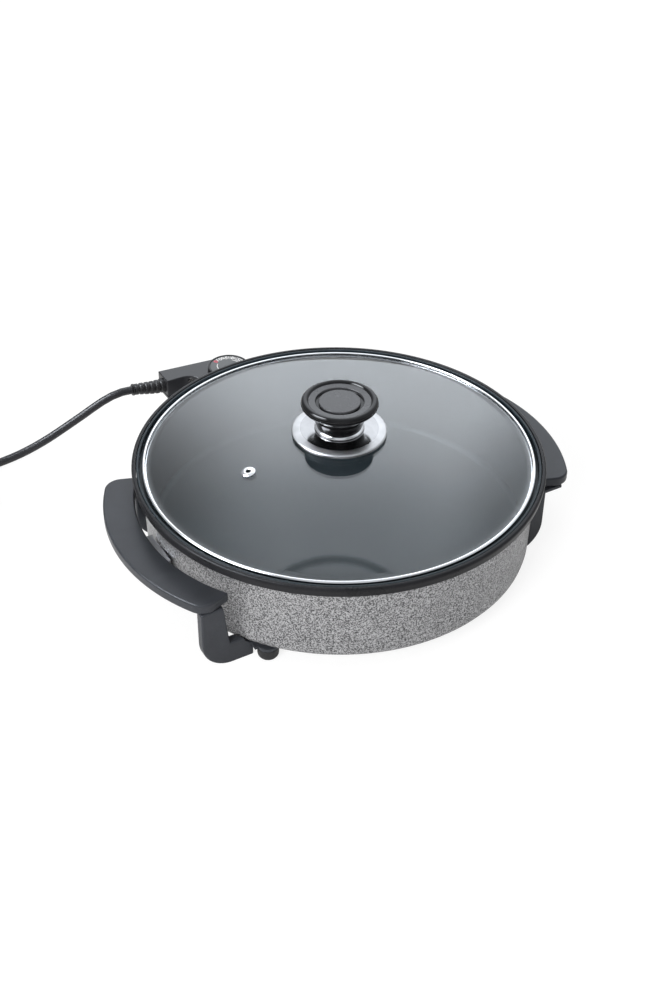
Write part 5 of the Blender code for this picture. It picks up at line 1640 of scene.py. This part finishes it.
@dataclass(frozen=True)
class Dial:
    """The temperature dial with its printed face."""

    y: float = 0.1905
    base: float = 0.0488
    top: float = 0.0614
    radius: float = 0.0178
    skirt: float = 0.0187
    bezel: float = 0.0016
    face_top: float = 0.061
    face_low: float = 0.06
    spindle_bore: float = 0.0033
    bore_top: float = 0.057
    ribs: int = 44
    rib_depth: float = 0.0003
    numeral_radius: float = 0.0128
    numeral_height: float = 0.0056
    ink: float = 0.00008
    numerals: tuple[tuple[str, float], ...] = (("100", 97.0), ("150", 72.0), ("200", 47.0), ("250", 22.0))
    zero_angle: float = 121.0
    dot_angle: float = -3.0

    def build(self) -> None:
        """Makes the knob, its face and the print on it."""
        self.knob()
        inner = self.radius - self.bezel - GAP
        face = [
            (0, self.face_top), (inner, self.face_top, 0.0001), (inner, self.face_low), (0, self.face_low)
        ]
        self.turn("dial_plate", face, DIAL_GREY, ["dial_face"])
        self.scale()

    def turn(self, name: str, profile: list[Corner], finish: Finish, nodes: list[str]) -> None:
        """Turns one piece round the dial's own axis."""
        piece(
            name,
            moved(lathe(profile, KNOB_STEPS), Matrix.Translation((0, self.y, 0))),
            finish,
            Body.DIAL,
            nodes,
        )

    def knob(self) -> None:
        """The knob, with fine ribs down its side."""
        inner = self.radius - self.bezel
        seat = self.face_low - GAP
        profile = [
            (0, seat),
            (inner, seat),
            (inner, self.top, 0.0003),
            (self.radius, self.top, 0.0006),
            (self.radius, self.top - 0.0016),
            (self.skirt, self.base, 0.0004),
            (self.spindle_bore, self.base),
            (self.spindle_bore, self.bore_top),
            (0, self.bore_top),
        ]
        work = lathe(profile, 4 * self.ribs)
        for vert in work.verts:
            flat = Vector((vert.co.x, vert.co.y))
            on_side = flat.length > self.radius - GAP and vert.co.z < self.top - 0.0012
            turn = round(
                flat.angle_signed(Vector((1, 0)), 0.0) / FULL_TURN * 4 * self.ribs
            ) if on_side else 0
            if on_side and turn % 4 in (0, 1):
                vert.co.x *= 1 - self.rib_depth / flat.length
                vert.co.y *= 1 - self.rib_depth / flat.length
        work = moved(work, Matrix.Translation((0, self.y, 0)))
        piece("dial_grip", work, GLOSS, Body.DIAL, ["dial_knob"])

    def scale(self) -> None:
        """The ring, the dot and the numbers."""
        for text, angle in self.numerals:
            self.number(text, angle, PRINT)
        self.number("0", self.zero_angle, RED_PRINT)
        ring = [*arc((0, 0), 0.0101, -225, 45, 64), *arc((0, 0), 0.0094, 45, -225, 64)]
        where = Matrix.Translation((0, self.y, 0))
        low, high = self.face_top, self.face_top + self.ink
        piece("print_ring", moved(slab(ring, low, high), where), PRINT, Body.DIAL)
        angle = math.radians(self.dot_angle)
        x, y = self.numeral_radius * math.cos(angle), self.y + self.numeral_radius * math.sin(angle)
        piece("print_dot", rod(0.0009, (x, y, low), (x, y, high)), PRINT, Body.DIAL)

    def number(self, text: str, angle: float, finish: Finish) -> None:
        """A number that stands outwards on the face at an angle in degrees."""
        curve = bpy.data.curves.new("number", "FONT")
        curve.body = text
        curve.size = self.numeral_height
        curve.align_x = "CENTER"
        curve.align_y = "CENTER"
        curve.extrude = self.ink / 2
        curve.offset = 0.00012
        curve.resolution_u = 4
        writing = bpy.data.objects.new("number", curve)
        bpy.context.scene.collection.objects.link(writing)
        bpy.context.view_layer.update()
        mesh = bpy.data.meshes.new_from_object(writing.evaluated_get(bpy.context.evaluated_depsgraph_get()))
        bpy.data.objects.remove(writing)
        work = bmesh.new()
        work.from_mesh(mesh)
        bmesh.ops.remove_doubles(work, verts=work.verts, dist=MERGE)
        turn = math.radians(angle)
        place = Matrix.Translation(
            (0, self.y, self.face_top + self.ink / 2)
        ) @ Matrix.Rotation(turn - math.pi / 2, 4, "Z")
        moved(work, place @ Matrix.Translation((0, self.numeral_radius, 0)))
        piece("print_" + text, work, finish, Body.DIAL)


@dataclass(frozen=True)
class MainsCord:
    """The strain relief, the cord with its stored coil, the tie and the plug."""

    diameter: float = 0.007
    arm_end: float = 0.0497
    relief: tuple[Place, ...] = (
        (-0.0500, 0.2209, 0.0394),
        (-0.0570, 0.2209, 0.0399),
        (-0.0640, 0.2211, 0.0409),
        (-0.0710, 0.2214, 0.0421),
        (-0.0785, 0.2219, 0.0430),
    )
    route: tuple[Place, ...] = (
        (-0.0788, 0.2219, 0.0430),
        (-0.0880, 0.2226, 0.0432),
        (-0.0970, 0.2236, 0.0414),
        (-0.1060, 0.2248, 0.0378),
        (-0.1150, 0.2258, 0.0333),
        (-0.1240, 0.2264, 0.0288),
        (-0.1340, 0.2268, 0.0243),
        (-0.1450, 0.2270, 0.0196),
        (-0.1570, 0.2270, 0.0150),
        (-0.1700, 0.2270, 0.0109),
        (-0.1840, 0.2270, 0.0076),
        (-0.1990, 0.2270, 0.0056),
        (-0.2150, 0.2270, 0.0048),
        (-0.2330, 0.2270, 0.0048),
        (-0.2500, 0.2270, 0.0048),
        (-0.2667, 0.2270, 0.0048),
    )
    relief_root: float = 0.0064
    relief_end: float = 0.0047
    relief_neck: float = 0.0036
    rib_depth: float = 0.0008
    ribs: int = 6
    turns: float = 4.25
    loop_points: int = 24
    coil_mean: float = 0.0385
    pitch: float = 0.0079
    low: float = 0.0048
    tail: float = 0.045
    plug_radius: float = 0.0185
    plug_length: float = 0.042
    plug_face: float = 0.014
    plug_waist: float = 0.0125
    pin_radius: float = 0.0024
    pin_spacing: float = 0.019
    pin_length: float = 0.019
    pin_sink: float = 0.008

    def build(self) -> None:
        """Makes the relief, the cord and what is on it."""
        self.strain_relief()
        coil = self.coil()
        start = coil[-1] + Vector((0, -GAP, 0))
        tail = []
        for i in range(13):
            t = i / 12
            ease = t * t * (3 - 2 * t)
            tail.append(
                Vector((start.x, start.y - self.tail * t, start.z + (self.plug_radius - start.z) * ease))
            )
        points = smooth_route(self.route, 0.008) + coil + tail
        cord = wire(
            "mains_cord",
            points,
            self.diameter / 2,
            JACKET,
            Body.CONTROL,
            ["cord_run", "cord_coil", "cord_tail"],
        )
        tie = piece("coil_band", from_node("cord_tie"), RUBBER, Body.CONTROL, ["cord_tie"])
        plug = self.plug(tail[-1])

    def strain_relief(self) -> None:
        """A neck through the housing's wall, then a taper with rounded ribs."""
        route = [Vector(p) for p in self.relief]
        points = [Vector((-self.arm_end + 0.0025, route[0].y, route[0].z)), route[0]]
        widths = [self.relief_neck, self.relief_neck]
        fine = smooth_route(self.relief, 0.00035)
        total = len(fine) - 1
        for i, point in enumerate(fine):
            share = i / total
            taper = self.relief_root + (self.relief_end - self.relief_root) * share
            phase = share * self.ribs % 1
            groove = max(0.0, min(1.0, 3.2 * (1 - abs(phase - 0.78) / 0.2)))
            if share > 0.96:
                groove = -0.6
            points.append(point)
            widths.append(taper - self.rib_depth * groove)
        scaled = [width / self.relief_root for width in widths]
        wire("ribbed_relief", points, self.relief_root, RUBBER, Body.CONTROL, ["strain_relief"], scaled)

    def coil(self) -> list[Vector]:
        """The coil: in along the lower layer, up in the half turn at the least radius, and out again."""
        count = round(self.turns * self.loop_points)
        half = self.turns / 2
        least = self.coil_mean - self.pitch * half / 2
        centre_x = self.route[-1][0] - self.diameter - GAP
        centre_y = self.route[-1][1] - least - self.pitch * half
        points = []
        for i in range(count + 1):
            turns = i / self.loop_points
            away = turns - half
            radius = least + self.pitch * abs(away)
            climb = min(1.0, max(0.0, 2 * away + 0.5))
            height = self.low + self.pitch * climb * climb * (3 - 2 * climb)
            angle = math.pi / 2 + FULL_TURN * turns
            points.append(
                Vector((centre_x + radius * math.cos(angle), centre_y + radius * math.sin(angle), height))
            )
        points.insert(0, points[0] + Vector((self.diameter, 0, 0)))
        points.append(points[-1] + Vector((0, -self.diameter, 0)))
        return points

    def plug(self, end: Vector) -> list[bpy.types.Object]:
        """The two-pin plug, with its body and its pins.

        Args:
            end: where the cord meets it, from the pan's axis.

        Returns:
            The plug's pieces.
        """
        back = -GAP
        face = back - self.plug_length
        shoulder = face + self.plug_face
        profile = [
            (0, back),
            (0.0052, back, 0.0005),
            (self.plug_waist, back - self.plug_face / 2, 0.003),
            (self.plug_waist, shoulder + 0.0015, 0.001),
            (self.plug_radius, shoulder, 0.0013),
            (self.plug_radius, face, 0.0015),
            (0, face),
        ]
        work = moved(lathe(profile, 64), along_y(end.x, end.y, end.z))
        tip = end.y + face
        places = [end.x + side.value * self.pin_spacing / 2 for side in Side]
        holes = [
            rod(
                self.pin_radius + GAP, (x, tip - PASS, end.z), (x, tip + self.pin_sink + GAP, end.z)
            ) for x in places
        ]
        made = [
            piece("plug_moulding", combined(work, holes, Combine.CUT), JACKET, Body.CONTROL, ["plug_body"])
        ]
        for side, x in zip(Side, places):
            pin = rod(self.pin_radius, (x, tip - self.pin_length, end.z), (x, tip + self.pin_sink, end.z))
            pin = round_edges(pin, 0.0008, 3)
            made.append(
                piece("plug_prong_" + side.word, pin, POLISHED, Body.CONTROL, ["plug_pin_" + side.word])
            )
        return made


SMALL_PARTS: dict[str, Finish] = {
    "terminal_pin_": STEEL,
    "inlet_nut_": STEEL,
    "reflector_nut": STEEL,
    "handle_screw_": STEEL,
    "foot_nut_": STEEL,
    "knob_washer": STEEL,
    "knob_screw": STEEL,
    "dial_spindle": BRASS,
}


def dress_small_parts() -> None:
    """Gives the CAD pieces that stay their finishes."""
    for name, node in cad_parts.items():
        for start, finish in SMALL_PARTS.items():
            if name.startswith(start):
                node.data.materials.clear()
                node.data.materials.append(finish.material())
                LOG.info("%s: %s", name, finish.name)


# Studio


@dataclass(frozen=True)
class PhotoCamera:
    """The photograph's viewpoint."""

    place: Place = (-0.45678, -0.80376, 0.72335)
    turn: Place = (52.6132, -0.5453, -30.0133)
    lens: float = 51.39
    film: float = 36.0

    def build(self) -> None:
        """Makes the scene's camera."""
        data = bpy.data.cameras.new("photo_camera")
        data.lens = self.lens
        data.sensor_width = self.film
        camera = bpy.data.objects.new("photo_camera", data)
        camera.location = self.place
        camera.rotation_euler = [math.radians(angle) for angle in self.turn]
        bpy.context.scene.collection.objects.link(camera)
        bpy.context.scene.camera = camera


@dataclass(frozen=True)
class Softbox:
    """A lamp with a flat square face that looks at a point."""

    name: str
    place: Place
    aim: Place
    size: tuple[float, float]
    power: float

    def build(self) -> None:
        """Hangs the lamp."""
        data = bpy.data.lights.new(self.name, "AREA")
        data.shape = "RECTANGLE"
        data.size, data.size_y = self.size
        data.energy = self.power
        lamp = bpy.data.objects.new(self.name, data)
        lamp.visible_glossy = False
        lamp.visible_transmission = False
        lamp.location = self.place
        lamp.rotation_euler = (Vector(self.aim) - Vector(self.place)).to_track_quat("-Z", "Y").to_euler()
        bpy.context.scene.collection.objects.link(lamp)


@dataclass(frozen=True)
class Surround:
    """What reflections see round the object: a bright screen behind that fades to both sides and to the top.

    Directions are to the right, away from the camera and up. A dark boom crosses the top.
    """

    ahead: Place = (0.5065, 0.8622, 0.0)
    right: Place = (0.8659, -0.5002, 0.0)
    window: Place = (-0.436, 0.29, 0.852)
    radius: float = 6.0
    dim: float = 0.1
    left: Ramp = (-0.52, -0.12, 0.2, 1.0)
    right_side: Ramp = (0.28, 0.52, 1.0, 0.38)
    low_part: Ramp = (-0.1, 0.6, 1.05, 2.5)
    high_part: Ramp = (0.62, 0.94, 1.0, 0.5)
    boom_start: Ramp = (0.951, 0.957, 1.0, 0.2)
    boom_end: Ramp = (0.961, 0.966, 0.2, 0.85)
    viewer_side: Ramp = (-0.5, 0.1, 0.3, 1.0)
    window_edge: tuple[float, float] = (0.965, 0.985)
    window_light: float = 24.0
    strip: Place = (-0.737, 0.157, 0.657)
    strip_edge: tuple[float, float] = (0.9, 0.97)
    strip_light: float = 5.0
    tint: Colour = (0.9, 0.945, 1.0)

    def strength(self, bench: Bench) -> Socket:
        """How bright the surround is in each direction."""
        way = bench.add("VectorMath", {0: bench.own_place()}, operation="NORMALIZE").outputs[0]
        across, away, to_window, to_strip = (
            bench.add("VectorMath", {0: way, 1: axis}, operation="DOT_PRODUCT").outputs["Value"]
            for axis in (self.right, self.ahead, self.window, self.strip)
        )
        up = bench.add("SeparateXYZ", {"Vector": way}).outputs["Z"]
        sides = bench.sums(bench.soft(across, *self.left), bench.soft(across, *self.right_side), "MULTIPLY")
        height = bench.sums(bench.soft(up, *self.low_part), bench.soft(up, *self.high_part), "MULTIPLY")
        boom = bench.sums(bench.soft(up, *self.boom_start), bench.soft(up, *self.boom_end), "MAXIMUM")
        for mask in (height, bench.soft(away, *self.viewer_side), boom):
            sides = bench.sums(sides, mask, "MULTIPLY")
        window = bench.soft(to_window, *self.window_edge, 0.0, self.window_light)
        strip = bench.soft(to_strip, *self.strip_edge, self.dim, self.strip_light)
        return bench.sums(sides, bench.sums(window, strip))

    def build(self) -> None:
        """Makes a shell that shines only for rays that have been reflected."""
        work = bmesh.new()
        bmesh.ops.create_icosphere(work, subdivisions=3, radius=self.radius)
        shell = plain_object("studio_surround", work)
        shell.visible_camera = False
        shell.visible_diffuse = False
        shell.visible_shadow = False
        surface = bpy.data.materials.new("studio_surround")
        surface.use_nodes = True
        bench = Bench(surface.node_tree)
        glow = bench.add("Emission", {"Color": (*self.tint, 1.0), "Strength": self.strength(bench)})
        clear = bench.add("BsdfTransparent")
        reflected = bench.sums(bench.add("LightPath").outputs["Glossy Depth"], 1.0, "MINIMUM")
        mixed = bench.add("MixShader", {0: reflected, 1: clear.outputs[0], 2: glow.outputs[0]})
        output = surface.node_tree.nodes["Material Output"]
        surface.node_tree.links.new(mixed.outputs[0], output.inputs["Surface"])
        shell.data.materials.append(surface)


@dataclass(frozen=True)
class Studio:
    """A white floor in a white room, with soft light."""

    floor_size: float = 8.0
    fill: float = 0.42
    lamps: tuple[Softbox, ...] = (
        Softbox("back_softbox", (0.75, 1.5, 1.25), (0.0, 0.0, 0.05), (1.7, 0.9), 15.0),
        Softbox("left_softbox", (-1.35, -0.85, 0.85), (0.0, 0.0, 0.05), (0.7, 0.9), 30.0),
        Softbox("top_softbox", (0.1, -0.3, 1.9), (0.0, 0.0, 0.0), (1.0, 1.0), 6.0),
    )

    def build(self) -> None:
        """Sets up the room, the floor and the lamps."""
        bpy.context.scene.view_settings.view_transform = "Standard"
        self.room()
        self.floor()
        Surround().build()
        for lamp in self.lamps:
            lamp.build()

    @staticmethod
    def seen(bench: Bench) -> Socket:
        """1 for rays that show the background: from the camera, off gloss or through glass."""
        path = bench.add("LightPath")
        either = bench.sums(path.outputs["Is Camera Ray"], path.outputs["Is Glossy Ray"], "MAXIMUM")
        return bench.sums(either, path.outputs["Is Transmission Ray"], "MAXIMUM")

    def room(self) -> None:
        """White where it is seen, and a plain level of light elsewhere."""
        world = bpy.data.worlds.new("studio")
        world.use_nodes = True
        bpy.context.scene.world = world
        bench = Bench(world.node_tree)
        light = world.node_tree.nodes["Background"]
        light.inputs["Color"].default_value = (1.0, 1.0, 1.0, 1.0)
        bench.feed(light.inputs["Strength"], bench.spread(self.seen(bench), self.fill, 1.0))

    def floor(self) -> None:
        """A pale floor that keeps the object's shadow."""
        work = bmesh.new()
        bmesh.ops.create_grid(work, x_segments=1, y_segments=1, size=self.floor_size / 2)
        floor = plain_object("studio_floor", work)
        surface = bpy.data.materials.new("studio_floor")
        surface.use_nodes = True
        bench = Bench(surface.node_tree)
        shader = surface.node_tree.nodes["Principled BSDF"]
        shader.inputs["Base Color"].default_value = (0.86, 0.86, 0.86, 1.0)
        shader.inputs["Roughness"].default_value = 0.9
        shader.inputs["Specular IOR Level"].default_value = 0.0
        glow = bench.add("Emission", {"Color": (1.0, 1.0, 1.0, 1.0), "Strength": 1.12})
        share = bench.sums(bench.add("LightPath").outputs["Is Camera Ray"], 0.75, "MULTIPLY")
        mixed = bench.add("MixShader", {0: share, 1: shader.outputs[0], 2: glow.outputs[0]})
        output = surface.node_tree.nodes["Material Output"]
        surface.node_tree.links.new(mixed.outputs[0], output.inputs["Surface"])
        floor.data.materials.append(surface)


@dataclass(frozen=True)
class GrillPan:
    """The whole object."""

    camera: PhotoCamera = field(default_factory=PhotoCamera)
    studio: Studio = field(default_factory=Studio)

    def build(self) -> None:
        """Builds the camera and the cord first, then the object from the bottom up, then the studio."""
        self.camera.build()
        lid = Lid()
        for part in (
            MainsCord(),
            Vessel(),
            Underside(),
            SideHandles(),
            Legs(),
            lid,
            LidKnob(lid),
            Thermostat(),
            Dial(),
        ):
            LOG.info("building %s", type(part).__name__)
            part.build()
        dress_small_parts()
        self.studio.build()


def main() -> None:
    """Builds the scene."""
    logging.basicConfig(level=logging.INFO, format="%(name)s %(message)s")
    GrillPan().build()
    bpy.context.view_layer.update()


if __name__ == "__main__":
    main()
